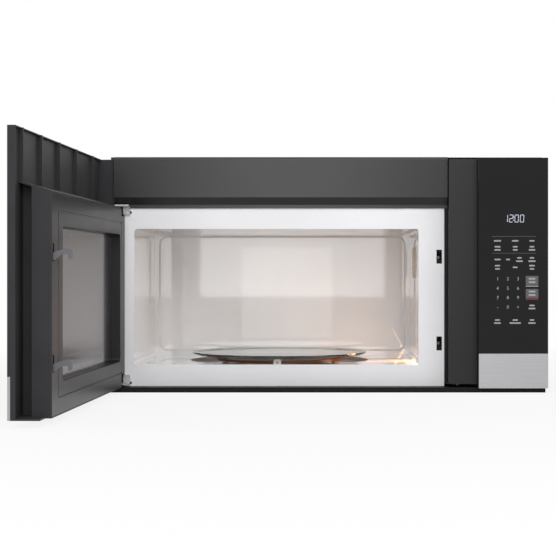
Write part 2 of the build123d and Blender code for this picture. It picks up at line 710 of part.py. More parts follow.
# ------------------------------------------------------ front of the body
with BuildPart() as top_vent_panel:
    vent_left = LEFT + END_NOTCH
    vent_right = VENT_SPLIT_X - SPLIT_GAP
    vent_inside = FRONT + VENT_DEPTH + WALL
    vent_step = FRONT + VENT_SLOPE_DEPTH
    vent_lip_back = FRONT + VENT_LIP_DEPTH
    vent_deck_end = FRONT + VENT_DECK_DEPTH
    with BuildSketch(side_view(vent_left)) as vent_profile:
        outline(
            (FRONT + VENT_DEPTH, VENT_FACE_BOTTOM),
            (FRONT + VENT_DEPTH, HEIGHT),
            (vent_deck_end, HEIGHT),
            (vent_deck_end, HEIGHT - WALL),
            (vent_inside, HEIGHT - WALL),
            (vent_inside, VENT_FACE_BOTTOM + WALL / 2),
            (vent_step + WALL, VENT_SLOPE_BOTTOM + WALL),
            (vent_lip_back, VENT_SLOPE_BOTTOM + WALL),
            (vent_lip_back, VENT_LIP_BOTTOM),
            (vent_step, VENT_LIP_BOTTOM),
            (vent_step, VENT_LIP_TOP),
            (vent_step + VENT_GROOVE, VENT_LIP_TOP),
            (vent_step + VENT_GROOVE, VENT_SLOPE_BOTTOM),
            (vent_step, VENT_SLOPE_BOTTOM),
        )
        front_top = vent_profile.vertices().sort_by_distance((FRONT + VENT_DEPTH, HEIGHT, 0))[0]
        fillet(front_top, VENT_ROUND)
    extrude(amount=vent_right - vent_left)
    # closed ends of the fascia
    for x in (vent_left, vent_right - WALL):
        with BuildSketch(side_view(x)):
            outline(
                (vent_inside, VENT_FACE_BOTTOM),
                (vent_inside, HEIGHT - WALL),
                (PLATE, HEIGHT - WALL),
                (PLATE, VENT_LIP_BOTTOM),
                (vent_step + VENT_GROOVE, VENT_LIP_BOTTOM),
            )
        extrude(amount=WALL)
    # flat end beside the hinge, set back from the swing of the door's end wall
    end_sweep = math.hypot(PIVOT_INSET, PIVOT_DEPTH - END_WALL_DEPTH) + MOVING_GAP
    with BuildSketch(front_view(PIVOT_Y + end_sweep)):
        between(LEFT, vent_left + WALL, VENT_LIP_BOTTOM, HEIGHT)
    extrude(amount=PIVOT_Y + end_sweep - PLATE)
    # the part behind the fascia stands inside the casing
    with BuildSketch(plan(VENT_LIP_BOTTOM)):
        between(LEFT, CASE_LEFT + VENT_SIDE_GAP, PLATE, vent_deck_end)
    extrude(amount=HEIGHT, mode=Mode.SUBTRACT)
    # louvre slots in the deck
    deck_left = CASE_LEFT + VENT_SIDE_GAP
    slots = int((VENT_SPLIT_X - deck_left) / VENT_SLOT_PITCH) - 1
    with BuildSketch(plan(HEIGHT)):
        with Locations(((deck_left + VENT_SPLIT_X) / 2, (PLATE + vent_deck_end) / 2)):
            with GridLocations(VENT_SLOT_PITCH, 0, slots, 1):
                Rectangle(VENT_SLOT_WIDTH, VENT_SLOT_LENGTH)
    extrude(amount=-WALL, mode=Mode.SUBTRACT)
save(top_vent_panel.part, "top_vent_panel")

with BuildPart() as charcoal_filter:
    filter_left = CAVITY_X - CHARCOAL_WIDTH / 2
    filter_right = CAVITY_X + CHARCOAL_WIDTH / 2
    filter_top = HEIGHT - WALL
    with BuildSketch(front_view(vent_lip_back)):
        between(filter_left, filter_right, VENT_LIP_TOP, filter_top)
    extrude(amount=-CHARCOAL_T)
    # the pad lies back from the frame on both faces
    for depth in (VENT_LIP_DEPTH, VENT_LIP_DEPTH + CHARCOAL_T - 2 * SHEET):
        with BuildSketch(front_view_at(depth)):
            between(filter_left + CHARCOAL_FRAME, filter_right - CHARCOAL_FRAME,
                    VENT_LIP_TOP + CHARCOAL_FRAME, filter_top - CHARCOAL_FRAME)
        extrude(amount=-2 * SHEET, mode=Mode.SUBTRACT)
save(charcoal_filter.part, "charcoal_filter")

panel_x = (CONTROL_LEFT + RIGHT) / 2
board_z = (BOARD_BOTTOM + BOARD_TOP) / 2

with BuildPart() as control_frame:
    # box behind the glass
    with BuildSketch(front_view_at(GLASS)):
        between(CONTROL_LEFT, RIGHT, BASE_HEIGHT, FRONT_TOP)
    extrude(amount=-(PLATE_DEPTH - GLASS))
    with BuildSketch(front_view_at(GLASS + WALL)):
        between(CONTROL_LEFT + WALL, RIGHT - WALL, BASE_HEIGHT + WALL, FRONT_TOP - WALL)
    extrude(amount=-PLATE_DEPTH, mode=Mode.SUBTRACT)
    # finger strip, its walls and the channel beside the front plate
    with BuildSketch(front_view_at(STRIP_DEPTH)):
        between(STRIP_LEFT, CONTROL_LEFT + WALL, STRIP_BOTTOM, FRONT_TOP)
    extrude(amount=-(CONTROL_BACK - STRIP_DEPTH))
    with BuildSketch(front_view_at(STRIP_DEPTH + WALL)):
        between(STRIP_LEFT + WALL, CONTROL_LEFT, STRIP_BOTTOM + WALL, FRONT_TOP - WALL)
    extrude(amount=-CONTROL_BACK, mode=Mode.SUBTRACT)
    with BuildSketch(front_view_at(PLATE_DEPTH)) as channel:
        between(FRONT_PLATE_RIGHT, STRIP_LEFT, CHANNEL_BOTTOM, VENT_LIP_BOTTOM)
        fillet(channel.vertices().group_by(Axis.Y)[0].sort_by(Axis.X)[0], CHANNEL_ROUND)
    extrude(amount=-(CONTROL_BACK - PLATE_DEPTH))
    # posts that carry the control board
    with BuildSketch(front_view_at(GLASS + WALL)):
        with Locations((panel_x, board_z)):
            with GridLocations(PANEL_WIDTH - 8 * WALL, BOARD_TOP - BOARD_BOTTOM - 4 * WALL, 2, 2):
                Rectangle(POST, POST)
    extrude(amount=-(BOARD_DEPTH - GLASS - WALL))
    # window for the display
    with BuildSketch(front_view_at(GLASS)):
        block(DISPLAY_X, DISPLAY_Z, DISPLAY_WIDTH, DISPLAY_HEIGHT)
    extrude(amount=-WALL, mode=Mode.SUBTRACT)
save(control_frame.part, "control_frame")

with BuildPart() as control_glass:
    with BuildSketch(front_view_at(0)):
        between(CONTROL_GLASS_LEFT, RIGHT, TRIM_TOP, FRONT_TOP)
    extrude(amount=-(GLASS - SENSOR_T))
    chamfer(control_glass.faces().sort_by(Axis.Y)[0].edges(), GLASS_BEVEL)
save(control_glass.part, "control_glass")

with BuildPart() as touch_sensor:
    with BuildSketch(front_view_at(GLASS - SENSOR_T)):
        between(CONTROL_LEFT + SENSOR_MARGIN, RIGHT - SENSOR_MARGIN,
                SENSOR_BOTTOM, FRONT_TOP - SENSOR_TOP_MARGIN)
        block(DISPLAY_X, DISPLAY_Z, DISPLAY_WIDTH, DISPLAY_HEIGHT, Mode.SUBTRACT)
    extrude(amount=-SENSOR_T)
save(touch_sensor.part, "touch_sensor")

with BuildPart() as control_trim:
    with BuildSketch(front_view_at(0)):
        between(CONTROL_GLASS_LEFT, RIGHT, BASE_HEIGHT, TRIM_TOP)
    extrude(amount=-GLASS)
    fillet(control_trim.faces().sort_by(Axis.Y)[0].edges().filter_by(Axis.Z), TRIM_T / 2)
    # the strip is folded sheet, open at the back
    with BuildSketch(front_view_at(TRIM_T)):
        between(CONTROL_GLASS_LEFT + TRIM_T, RIGHT - TRIM_T, BASE_HEIGHT + TRIM_T, TRIM_TOP - TRIM_T)
    extrude(amount=-GLASS, mode=Mode.SUBTRACT)
save(control_trim.part, "control_trim")

with BuildPart() as display_module:
    with BuildSketch(front_view_at(GLASS)):
        block(DISPLAY_X, DISPLAY_Z, DISPLAY_WIDTH, DISPLAY_HEIGHT)
    extrude(amount=-(BOARD_DEPTH - GLASS))
save(display_module.part, "display_module")

with BuildPart() as control_board:
    with BuildSketch(front_view_at(BOARD_DEPTH)):
        between(CONTROL_LEFT + 2 * WALL, RIGHT - 2 * WALL, BOARD_BOTTOM, BOARD_TOP)
    extrude(amount=-BOARD_T)
    # relays and the small supply transformer
    with BuildSketch(front_view_at(BOARD_DEPTH + BOARD_T)):
        with Locations((panel_x - RELAY_X, RELAY_Z)):
            with GridLocations(RELAY_PITCH_X, RELAY_PITCH_Z, 2, 2):
                Rectangle(RELAY_WIDTH, RELAY_LENGTH)
        block(panel_x + SUPPLY_X, FRONT_TOP - SUPPLY_DROP, SUPPLY_WIDTH, SUPPLY_LENGTH)
    extrude(amount=-RELAY_T)
    # film capacitors
    with BuildSketch(front_view_at(BOARD_DEPTH + BOARD_T)):
        with Locations((panel_x, CELL_Z)):
            with GridLocations(CELL_PITCH, 0, 3, 1):
                Rectangle(CELL_SIZE, CELL_SIZE)
    extrude(amount=-CELL_T)
save(control_board.part, "control_board")

# --------------------------------------------------------------- hinges
def hinge_bracket(foot_z, up):
    """Bracket screwed to the front plate, with a pin for the door.

    foot_z is the edge furthest from the door's middle; up is +1 or -1 and
    points from the door's middle to that edge.
    """
    leaf_depth = PLATE_DEPTH - HINGE_FOOT_T - HINGE_LEAF
    foot_left = PIVOT_X + HINGE_FOOT_LEFT
    foot_right = foot_left + HINGE_FOOT_WIDTH
    foot_x = (foot_left + foot_right) / 2
    leaf_z = foot_z - up * HINGE_HEIGHT / 2
    foot_middle = foot_z - up * (HINGE_HEIGHT - HINGE_FOOT_HEIGHT / 2)
    with BuildPart() as bracket:
        with BuildSketch(front_view_at(leaf_depth)):
            block(foot_x, leaf_z, HINGE_FOOT_WIDTH, HINGE_HEIGHT)
        extrude(amount=-HINGE_LEAF)
        with BuildSketch(front_view_at(leaf_depth + HINGE_LEAF)):
            block(foot_x, foot_middle, HINGE_FOOT_WIDTH, HINGE_FOOT_HEIGHT)
        extrude(amount=-HINGE_FOOT_T)
        with BuildSketch(plan(foot_z)):
            with Locations((PIVOT_X, PIVOT_Y)):
                Circle(HINGE_TAB_R)
            between(PIVOT_X, foot_right, PIVOT_Y - HINGE_TAB_R, FRONT + leaf_depth + HINGE_LEAF)
        extrude(amount=-up * HINGE_TAB)
        with BuildSketch(plan(foot_z - up * HINGE_TAB)):
            with Locations((PIVOT_X, PIVOT_Y)):
                Circle(PIN_R)
        extrude(amount=-up * PIN_LENGTH)
    return bracket.part


save(hinge_bracket(HINGE_UPPER_Z, 1), "hinge_upper")
save(hinge_bracket(HINGE_LOWER_Z, -1), "hinge_lower")

# ----------------------------------------------------------------- door
skin_back = GLASS + SKIN
box_left = LEFT + BOX_INSET
grip_left = DOOR_BOX_RIGHT - GRIP_UNDERCUT
hollow_left = box_left + HINGE_POST
notch_right = PIVOT_X + HINGE_SWEEP
hinge_ends = ((HINGE_UPPER_Z, 1), (HINGE_LOWER_Z, -1))


def box_top(depth):
    """Height of the sloping top of the door box at a depth."""
    rise = (DOOR_THICKNESS - depth) / (DOOR_THICKNESS - skin_back)
    return DOOR_BOX_TOP + DOOR_BOX_RISE * rise


def box_section(near, far, inset):
    """Side profile of the door box between two depths, drawn in by inset."""
    outline(
        (FRONT + near, DOOR_BOTTOM + inset),
        (FRONT + far, DOOR_BOTTOM + inset),
        (FRONT + far, box_top(far) - inset),
        (FRONT + near, box_top(near) - inset),
    )


def window_hole(grow):
    """Cut the window, larger by grow on each side, from the sketch in progress."""
    rounded(WINDOW_X, WINDOW_Z, WINDOW_WIDTH + 2 * grow, WINDOW_HEIGHT + 2 * grow,
            WINDOW_ROUND, Mode.SUBTRACT)


with BuildPart() as door_frame:
    with BuildSketch(front_view_at(GLASS)):
        between(LEFT, DOOR_RIGHT, DOOR_BOTTOM, FRONT_TOP)
    extrude(amount=-SKIN)
    # rim round the glass and the trim
    with BuildSketch(front_view_at(0)):
        between(LEFT, DOOR_RIGHT, DOOR_BOTTOM, FRONT_TOP)
        between(LEFT + RIM_WALL, DOOR_RIGHT - RIM_WALL, DOOR_BOTTOM + RIM_WALL,
                FRONT_TOP - RIM_WALL, Mode.SUBTRACT)
    extrude(amount=-RIM_DEPTH)
    with BuildSketch(front_view_at(0)):
        between(LEFT, DOOR_RIGHT, DOOR_BOTTOM, TRIM_TOP)
    extrude(amount=-GLASS, mode=Mode.SUBTRACT)
    # box
    with BuildSketch(side_view(box_left)):
        box_section(skin_back, DOOR_THICKNESS, 0)
    extrude(amount=DOOR_BOX_RIGHT - box_left)
    rear_edges = door_frame.faces().sort_by(Axis.Y)[-1].edges().filter_by(Axis.Z)
    fillet(rear_edges.sort_by(Axis.X)[0], BOX_ROUND)
    rear_edges = door_frame.faces().sort_by(Axis.Y)[-1].edges().filter_by(Axis.Z)
    fillet(rear_edges.sort_by(Axis.X)[-1], BOX_EDGE)
    with BuildSketch(side_view(hollow_left)):
        box_section(skin_back, DOOR_THICKNESS, WALL)
    extrude(amount=grip_left - WALL - hollow_left, mode=Mode.SUBTRACT)
    with BuildSketch(side_view(grip_left - WALL)):
        box_section(GRIP_DEPTH + WALL, DOOR_THICKNESS, WALL)
    extrude(amount=DOOR_BOX_RIGHT - grip_left, mode=Mode.SUBTRACT)
    # finger pocket, open behind the free edge
    with BuildSketch(side_view(grip_left)):
        box_section(skin_back, GRIP_DEPTH, WALL)
    extrude(amount=GRIP_UNDERCUT, mode=Mode.SUBTRACT)
    # seat of the latch spring
    with BuildSketch(plan(SPRING_SEAT)):
        between(LATCH_X - 3 * WALL, DOOR_BOX_RIGHT - WALL, FRONT + GRIP_DEPTH + WALL,
                FRONT + SLIDER_DEPTH + SLIDER_T)
    extrude(amount=WALL)
    # lip along the bottom of the pocket
    with BuildSketch(plan(DOOR_BOTTOM)):
        between(DOOR_BOX_RIGHT, DOOR_RIGHT, FRONT + GLASS, FRONT + LIP_DEPTH)
    extrude(amount=WALL)
    # ribs of the open bays above the box
    rib_back = skin_back + RIB_DEPTH
    for share in RIB_SHARES:
        rib_x = LEFT + share * (DOOR_RIGHT - LEFT)
        with BuildSketch(side_view(rib_x - RIB_T / 2)):
            outline(
                (FRONT + GLASS, DOOR_BOX_TOP + DOOR_BOX_RISE - WALL),
                (FRONT + GLASS, FRONT_TOP),
                (FRONT + rib_back, FRONT_TOP),
                (FRONT + rib_back, box_top(rib_back) - WALL),
            )
        extrude(amount=RIB_T)
    # bosses for the hinge pins, and the room that the hinges need
    for foot_z, up in hinge_ends:
        boss_end = foot_z - up * (HINGE_TAB + DOOR_GAP)
        with BuildSketch(plan(boss_end)):
            between(hollow_left, notch_right, PIVOT_Y - 2 * BUSH_R, PIVOT_Y + 2 * BUSH_R)
        extrude(amount=-up * HINGE_BOSS)
        with BuildSketch(plan(boss_end)):
            with Locations((PIVOT_X, PIVOT_Y)):
                Circle(HINGE_SWEEP)
        extrude(amount=up * 2 * HINGE_TAB, mode=Mode.SUBTRACT)
        with BuildSketch(plan(boss_end + up * HINGE_TAB)):
            between(LEFT, notch_right, PIVOT_Y + BOX_ROUND, FRONT + DOOR_THICKNESS)
        extrude(amount=-up * (HINGE_HEIGHT + HINGE_TAB), mode=Mode.SUBTRACT)
        with BuildSketch(plan(boss_end)):
            block(PIVOT_X, PIVOT_Y, 2 * BUSH_R, 2 * BUSH_R)
        extrude(amount=-up * (PIN_LENGTH + PIN_END_GAP), mode=Mode.SUBTRACT)
    # end wall beside the hinge, above the box
    with BuildSketch(front_view_at(GLASS)):
        between(LEFT, LEFT + WALL, DOOR_BOX_TOP, FRONT_TOP)
    extrude(amount=-(END_WALL_DEPTH - GLASS))
    # window
    with BuildSketch(front_view_at(GLASS)):
        rounded(WINDOW_X, WINDOW_Z, WINDOW_WIDTH, WINDOW_HEIGHT, WINDOW_ROUND)
    extrude(amount=-SKIN, mode=Mode.SUBTRACT)
save_door(door_frame.part, "door_frame")

with BuildPart() as hinge_bushes:
    for foot_z, up in hinge_ends:
        with BuildSketch(plan(foot_z - up * (HINGE_TAB + DOOR_GAP))):
            block(PIVOT_X, PIVOT_Y, 2 * BUSH_R, 2 * BUSH_R)
            with Locations((PIVOT_X, PIVOT_Y)):
                Circle(PIN_R + RUNNING, mode=Mode.SUBTRACT)
        extrude(amount=-up * (PIN_LENGTH + PIN_END_GAP))
save_door(hinge_bushes.part, "hinge_bushes")

with BuildPart() as door_glass:
    with BuildSketch(front_view_at(0)):
        between(LEFT + RIM_WALL, DOOR_RIGHT - RIM_WALL, TRIM_TOP, FRONT_TOP - RIM_WALL)
    extrude(amount=-GLASS)
    chamfer(door_glass.faces().sort_by(Axis.Y)[0].edges(), GLASS_BEVEL)
save_door(door_glass.part, "door_glass")

with BuildPart() as door_trim:
    with BuildSketch(front_view_at(0)):
        between(LEFT, DOOR_RIGHT, DOOR_BOTTOM, TRIM_TOP)
    extrude(amount=-GLASS)
    fillet(door_trim.faces().sort_by(Axis.Y)[0].edges().filter_by(Axis.Z), TRIM_T / 2)
    with BuildSketch(front_view_at(TRIM_T)):
        between(LEFT + TRIM_T, DOOR_RIGHT - TRIM_T, DOOR_BOTTOM + TRIM_T, TRIM_TOP - TRIM_T)
    extrude(amount=-GLASS, mode=Mode.SUBTRACT)
save_door(door_trim.part, "door_trim")

inner_right = DOOR_BOX_RIGHT - WALL
inner_bottom = DOOR_BOTTOM + WALL
inner_top = DOOR_BOX_TOP - WALL
choke_front = SCREEN_DEPTH + SCREEN_T
window_front = choke_front + SHEET

with BuildPart() as choke_cover:
    with BuildSketch(front_view_at(COVER_DEPTH)):
        between(hollow_left, inner_right, inner_bottom, inner_top)
        window_hole(0)
        for slot_z in SLOTS_Z:
            block(LATCH_X, slot_z, LATCH_SLOT_WIDTH, LATCH_SLOT_HEIGHT, Mode.SUBTRACT)
        for low, high in ((HINGE_UPPER_Z - HINGE_HEIGHT - DOOR_GAP - HINGE_TAB, inner_top),
                          (inner_bottom, HINGE_LOWER_Z + HINGE_HEIGHT + DOOR_GAP + HINGE_TAB)):
            between(hollow_left, notch_right, low, high, Mode.SUBTRACT)
    extrude(amount=-COVER_T)
    # wall that lines the window recess
    with BuildSketch(front_view_at(window_front + WINDOW_T)):
        rounded(WINDOW_X, WINDOW_Z, WINDOW_WIDTH + 2 * WALL, WINDOW_HEIGHT + 2 * WALL,
                WINDOW_ROUND + WALL)
        window_hole(0)
    extrude(amount=-(COVER_DEPTH - window_front - WINDOW_T))
    # groove that marks the window frame
    with BuildSketch(front_view_at(DOOR_THICKNESS)):
        groove_left = WINDOW_LEFT - GROOVE_OUT_X
        groove_right = WINDOW_RIGHT + GROOVE_RIGHT_X
        groove_bottom = WINDOW_BOTTOM - GROOVE_OUT_Z
        groove_top = WINDOW_TOP + GROOVE_OUT_Z
        between(groove_left, groove_right, groove_bottom, groove_top)
        between(groove_left + GROOVE, groove_right - GROOVE, groove_bottom + GROOVE,
                groove_top - GROOVE, Mode.SUBTRACT)
    extrude(amount=COVER_T / 2, mode=Mode.SUBTRACT)
save_door(choke_cover.part, "choke_cover")

with BuildPart() as door_choke:
    choke_left = notch_right + WALL
    choke_right = grip_left - 2 * WALL
    choke_width = choke_right - choke_left
    choke_height = inner_top - inner_bottom
    with BuildSketch(front_view_at(choke_front)):
        between(choke_left, choke_right, inner_bottom, inner_top)
        window_hole(-CHOKE_LAP)
    extrude(amount=-SHEET)
    # folded edge that stands towards the oven
    with BuildSketch(front_view_at(choke_front)):
        between(choke_left, choke_right, inner_bottom, inner_top)
        between(choke_left + SHEET, choke_right - SHEET, inner_bottom + SHEET,
                inner_top - SHEET, Mode.SUBTRACT)
    extrude(amount=-CHOKE_LIP)
    # slots that divide the folded edge into fingers
    with BuildSketch(front_view_at(choke_front + 2 * SHEET)):
        with Locations(((choke_left + choke_right) / 2, (inner_bottom + inner_top) / 2)):
            with GridLocations(CHOKE_PITCH, 0, int(choke_width / CHOKE_PITCH), 1):
                Rectangle(CHOKE_SLOT, choke_height)
            with GridLocations(0, CHOKE_PITCH, 1, int(choke_height / CHOKE_PITCH)):
                Rectangle(choke_width, CHOKE_SLOT)
    extrude(amount=-CHOKE_LIP, mode=Mode.SUBTRACT)
save_door(door_choke.part, "door_choke")

with BuildPart() as door_screen:
    with BuildSketch(front_view_at(SCREEN_DEPTH)):
        block(WINDOW_X, WINDOW_Z, WINDOW_WIDTH + 2 * SCREEN_LAP, WINDOW_HEIGHT + 2 * SCREEN_LAP)
    extrude(amount=-SCREEN_T)
save_door(door_screen.part, "door_screen")

with BuildPart() as door_window:
    with BuildSketch(front_view_at(window_front)):
        block(WINDOW_X, WINDOW_Z, WINDOW_WIDTH + 2 * WINDOW_LAP, WINDOW_HEIGHT + 2 * WINDOW_LAP)
    extrude(amount=-WINDOW_T)
save_door(door_window.part, "door_window")

with BuildPart() as latch_slider:
    with BuildSketch(front_view_at(SLIDER_DEPTH)):
        between(LATCH_X - SLIDER_WIDTH / 2, LATCH_X + SLIDER_WIDTH / 2,
                LATCH_LOWER - SLIDER_REACH, SLIDER_TOP)
    extrude(amount=-SLIDER_T)
    face = FRONT + DOOR_THICKNESS
    hook_end = face + HOOK_REACH
    for slot_z in SLOTS_Z:
        hook_top = slot_z + HOOK_TOP
        throat_z = slot_z - HOOK_THROAT
        tip_z = slot_z - HOOK_TIP
        with BuildSketch(side_view(LATCH_X - HOOK_T / 2)):
            outline(
                (face - HOOK_BURY, slot_z - HOOK_ROOT),
                (face - HOOK_BURY, slot_z - HOOK_SHOULDER),
                (face + HOOK_BEND, hook_top),
                (hook_end - HOOK_NOSE, hook_top),
                (hook_end, hook_top - HOOK_NOSE),
                (hook_end, tip_z + HOOK_NOSE),
                (hook_end - HOOK_NOSE, tip_z),
                (hook_end - HOOK_TIP_T, tip_z),
                (hook_end - HOOK_TIP_T, throat_z),
                (face + HOOK_THROAT_START, throat_z),
                (face + DOOR_GAP, slot_z - HOOK_ROOT),
            )
        extrude(amount=HOOK_T)
save_door(latch_slider.part, "latch_slider")

# the coil spring is closed in by the door, so its node is the sleeve that it fills
with BuildPart() as latch_spring:
    with BuildSketch(plan(SLIDER_TOP + MOVING_GAP)):
        with Locations((LATCH_X, FRONT + SLIDER_DEPTH + SLIDER_T / 2)):
            Circle(SPRING_R + SPRING_WIRE_R)
            Circle(SPRING_R - SPRING_WIRE_R, mode=Mode.SUBTRACT)
    extrude(amount=SPRING_LENGTH)
save_door(latch_spring.part, "latch_spring")

# ------------------------------------------------------------ turntable
table = (CAVITY_X, TABLE_Y)
coupler_bottom = TRACK + COUPLER_LIFT
coupler_top = TRAY_UNDERSIDE - MOVING_GAP
motor_top = TRACK - SHEET
shaft_bottom = motor_top - TABLE_MOTOR_T / 2

with BuildPart() as turntable_motor:
    with BuildSketch(plan(motor_top)):
        with Locations(table):
            RegularPolygon(TABLE_MOTOR_R, SIDES)
    extrude(amount=-TABLE_MOTOR_T)
    # fixing ears
    with BuildSketch(plan(motor_top)):
        block(CAVITY_X, TABLE_Y, 2 * (TABLE_MOTOR_R + TABLE_MOTOR_EAR), TABLE_MOTOR_EAR_WIDTH)
    extrude(amount=-SHEET)
    with BuildSketch(plan(motor_top)):
        with Locations(table):
            Circle(SHAFT_R + RUNNING)
    extrude(amount=-TABLE_MOTOR_T / 2, mode=Mode.SUBTRACT)
save(turntable_motor.part, "turntable_motor")

with BuildPart() as turntable_coupler:
    with BuildSketch(plan(coupler_bottom)):
        with Locations(table):
            RegularPolygon(COUPLER_HUB_R, 2 * COUPLER_ARMS)
            with PolarLocations(COUPLER_R / 2, COUPLER_ARMS):
                Rectangle(COUPLER_R, COUPLER_ARM)
    extrude(amount=coupler_top - coupler_bottom)
    with BuildSketch(plan(shaft_bottom + MOVING_GAP)):
        with Locations(table):
            Circle(SHAFT_R)
    extrude(amount=coupler_bottom - shaft_bottom - MOVING_GAP)
save(turntable_coupler.part, "turntable_coupler")

with BuildPart() as glass_tray:
    rim_y = TABLE_Y + TRAY_R
    rim_top = TRAY_UNDERSIDE + TRAY_RIM
    with BuildSketch(side_view(CAVITY_X)):
        outline(
            (TABLE_Y, TRAY_UNDERSIDE),
            (rim_y - TRAY_RIM_WIDTH, TRAY_UNDERSIDE),
            (rim_y, rim_top - TRAY_EDGE),
            (rim_y, rim_top),
            (rim_y - TRAY_RIM_WIDTH, TRAY_UNDERSIDE + TRAY_T),
            (TABLE_Y, TRAY_UNDERSIDE + TRAY_T),
        )
    revolve(axis=Axis((CAVITY_X, TABLE_Y, 0), (0, 0, 1)))
    # lugs that sit between the arms of the coupler
    with BuildSketch(plan(TRAY_UNDERSIDE)):
        with Locations(table):
            with PolarLocations(COUPLER_R - COUPLER_ARM / 2, COUPLER_ARMS,
                                start_angle=180 / COUPLER_ARMS):
                Rectangle(COUPLER_ARM, COUPLER_ARM)
    extrude(amount=-LUG_LENGTH)
save(glass_tray.part, "glass_tray")

axle_places = (("front", -90), ("right", 30), ("left", 150))
ring_outer = TRACK_R - ROLLER_WIDTH / 2 - MOVING_GAP
ring_middle = ring_outer - RING_WIDTH / 2


def spoke(angle, distance):
    """Plane square to the spoke at an angle, at a distance from the turntable's middle."""
    outward = Vector(math.cos(math.radians(angle)), math.sin(math.radians(angle)), 0)
    return Plane(origin=Vector(CAVITY_X, TABLE_Y, ROLLER_Z) + outward * distance, z_dir=outward)


with BuildPart() as roller_ring:
    with BuildSketch(plan(ROLLER_Z - RING_T / 2)):
        with Locations(table):
            Circle(ring_outer)
            Circle(ring_outer - RING_WIDTH, mode=Mode.SUBTRACT)
    extrude(amount=RING_T)
    for place, angle in axle_places:
        with BuildSketch(spoke(angle, ring_middle)):
            Circle(AXLE_R)
        extrude(amount=TRACK_R + ROLLER_WIDTH / 2 + AXLE_END - ring_middle)
save(roller_ring.part, "roller_ring")

for place, angle in axle_places:
    with BuildPart() as roller:
        with BuildSketch(spoke(angle, TRACK_R - ROLLER_WIDTH / 2)):
            Circle(ROLLER_R)
            Circle(AXLE_R + RUNNING, mode=Mode.SUBTRACT)
        extrude(amount=ROLLER_WIDTH)
    save(roller.part, f"roller_{place}")

# ------------------------------------------------------ latch receiver
ledge_near = DOOR_THICKNESS + LEDGE_GAP
plunger_tip = DOOR_THICKNESS + HOOK_REACH + MOVING_GAP
switch_front = plunger_tip + PLUNGER_LENGTH + PLUNGER_TRAVEL + MOVING_GAP
bracket_front = PLATE_DEPTH + SHEET
bracket_back = switch_front + SWITCH_LENGTH
bracket_left = LATCH_X - BRACKET_SIDE
bracket_right = FRONT_PLATE_RIGHT - MOVING_GAP
bracket_low = LATCH_LOWER - BRACKET_END
bracket_high = LATCH_UPPER + BRACKET_END
monitor_z = (LATCH_UPPER + LATCH_LOWER) / 2

with BuildPart() as latch_bracket:
    with BuildSketch(front_view_at(bracket_front)):
        between(bracket_left, bracket_right, bracket_low, bracket_high)
        for slot_z in SLOTS_Z:
            block(LATCH_X, slot_z, LATCH_SLOT_WIDTH, LATCH_SLOT_HEIGHT, Mode.SUBTRACT)
    extrude(amount=-WALL)
    # side web
    with BuildSketch(side_view(bracket_left)):
        between(FRONT + bracket_front, FRONT + bracket_back, bracket_low, bracket_high)
    extrude(amount=WALL)
    for slot_z in SLOTS_Z:
        ledge_top = slot_z - LEDGE_DROP
        ledge_low = slot_z - LEDGE_BOTTOM
        shelf_top = slot_z - SWITCH_DROP
        plunger_z = slot_z - PLUNGER_DROP
        # ledge that the hook drops behind
        with BuildSketch(side_view(bracket_left)):
            outline(
                (FRONT + ledge_near, ledge_top),
                (FRONT + ledge_near, ledge_low),
                (FRONT + ledge_near + LEDGE_T, ledge_low),
                (FRONT + ledge_near + LEDGE_T, ledge_top + LEDGE_RAMP),
            )
        extrude(amount=bracket_right - bracket_left)
        # shelf under the switch
        with BuildSketch(side_view(bracket_left)):
            between(FRONT + switch_front, FRONT + bracket_back, shelf_top - WALL, shelf_top)
        extrude(amount=bracket_right - bracket_left)
        # guide round the plunger
        with BuildSketch(front_view_at(plunger_tip + GUIDE_BACK)):
            between(bracket_left, bracket_right - WALL, plunger_z - GUIDE_REACH,
                    plunger_z + GUIDE_REACH)
            block(LATCH_X, plunger_z, PLUNGER + 2 * MOVING_GAP, PLUNGER + 2 * MOVING_GAP,
                  Mode.SUBTRACT)
        extrude(amount=-GUIDE_T)
save(latch_bracket.part, "latch_bracket")

for place, slot_z in (("upper", LATCH_UPPER), ("lower", LATCH_LOWER)):
    with BuildPart() as plunger:
        with BuildSketch(front_view_at(plunger_tip)):
            block(LATCH_X, slot_z - PLUNGER_DROP, PLUNGER, PLUNGER)
        extrude(amount=-PLUNGER_LENGTH)
        chamfer(plunger.faces().sort_by(Axis.Y)[0].edges(), PLUNGER_NOSE)
    save(plunger.part, f"switch_plunger_{place}")

with BuildPart() as door_switches:
    with BuildSketch(front_view_at(switch_front)):
        for slot_z in SLOTS_Z:
            block(LATCH_X, slot_z - SWITCH_DROP + SWITCH_HEIGHT / 2, SWITCH_WIDTH, SWITCH_HEIGHT)
    extrude(amount=-SWITCH_LENGTH)
    # third switch, on the side web between the other two
    with BuildSketch(front_view_at(bracket_front + WALL + MONITOR_DEPTH)):
        between(bracket_left + WALL, bracket_left + WALL + SWITCH_WIDTH,
                monitor_z, monitor_z + SWITCH_HEIGHT)
    extrude(amount=-SWITCH_LENGTH)
save(door_switches.part, "door_switches")

# --------------------------------------------------- duct and ventilation
duct_inside = EXHAUST_WIDTH - 2 * COLLAR_T
damper_y = -EXHAUST_BACK - COLLAR_T - DAMPER_INSET
damper_z = HEIGHT + DAMPER_HEIGHT

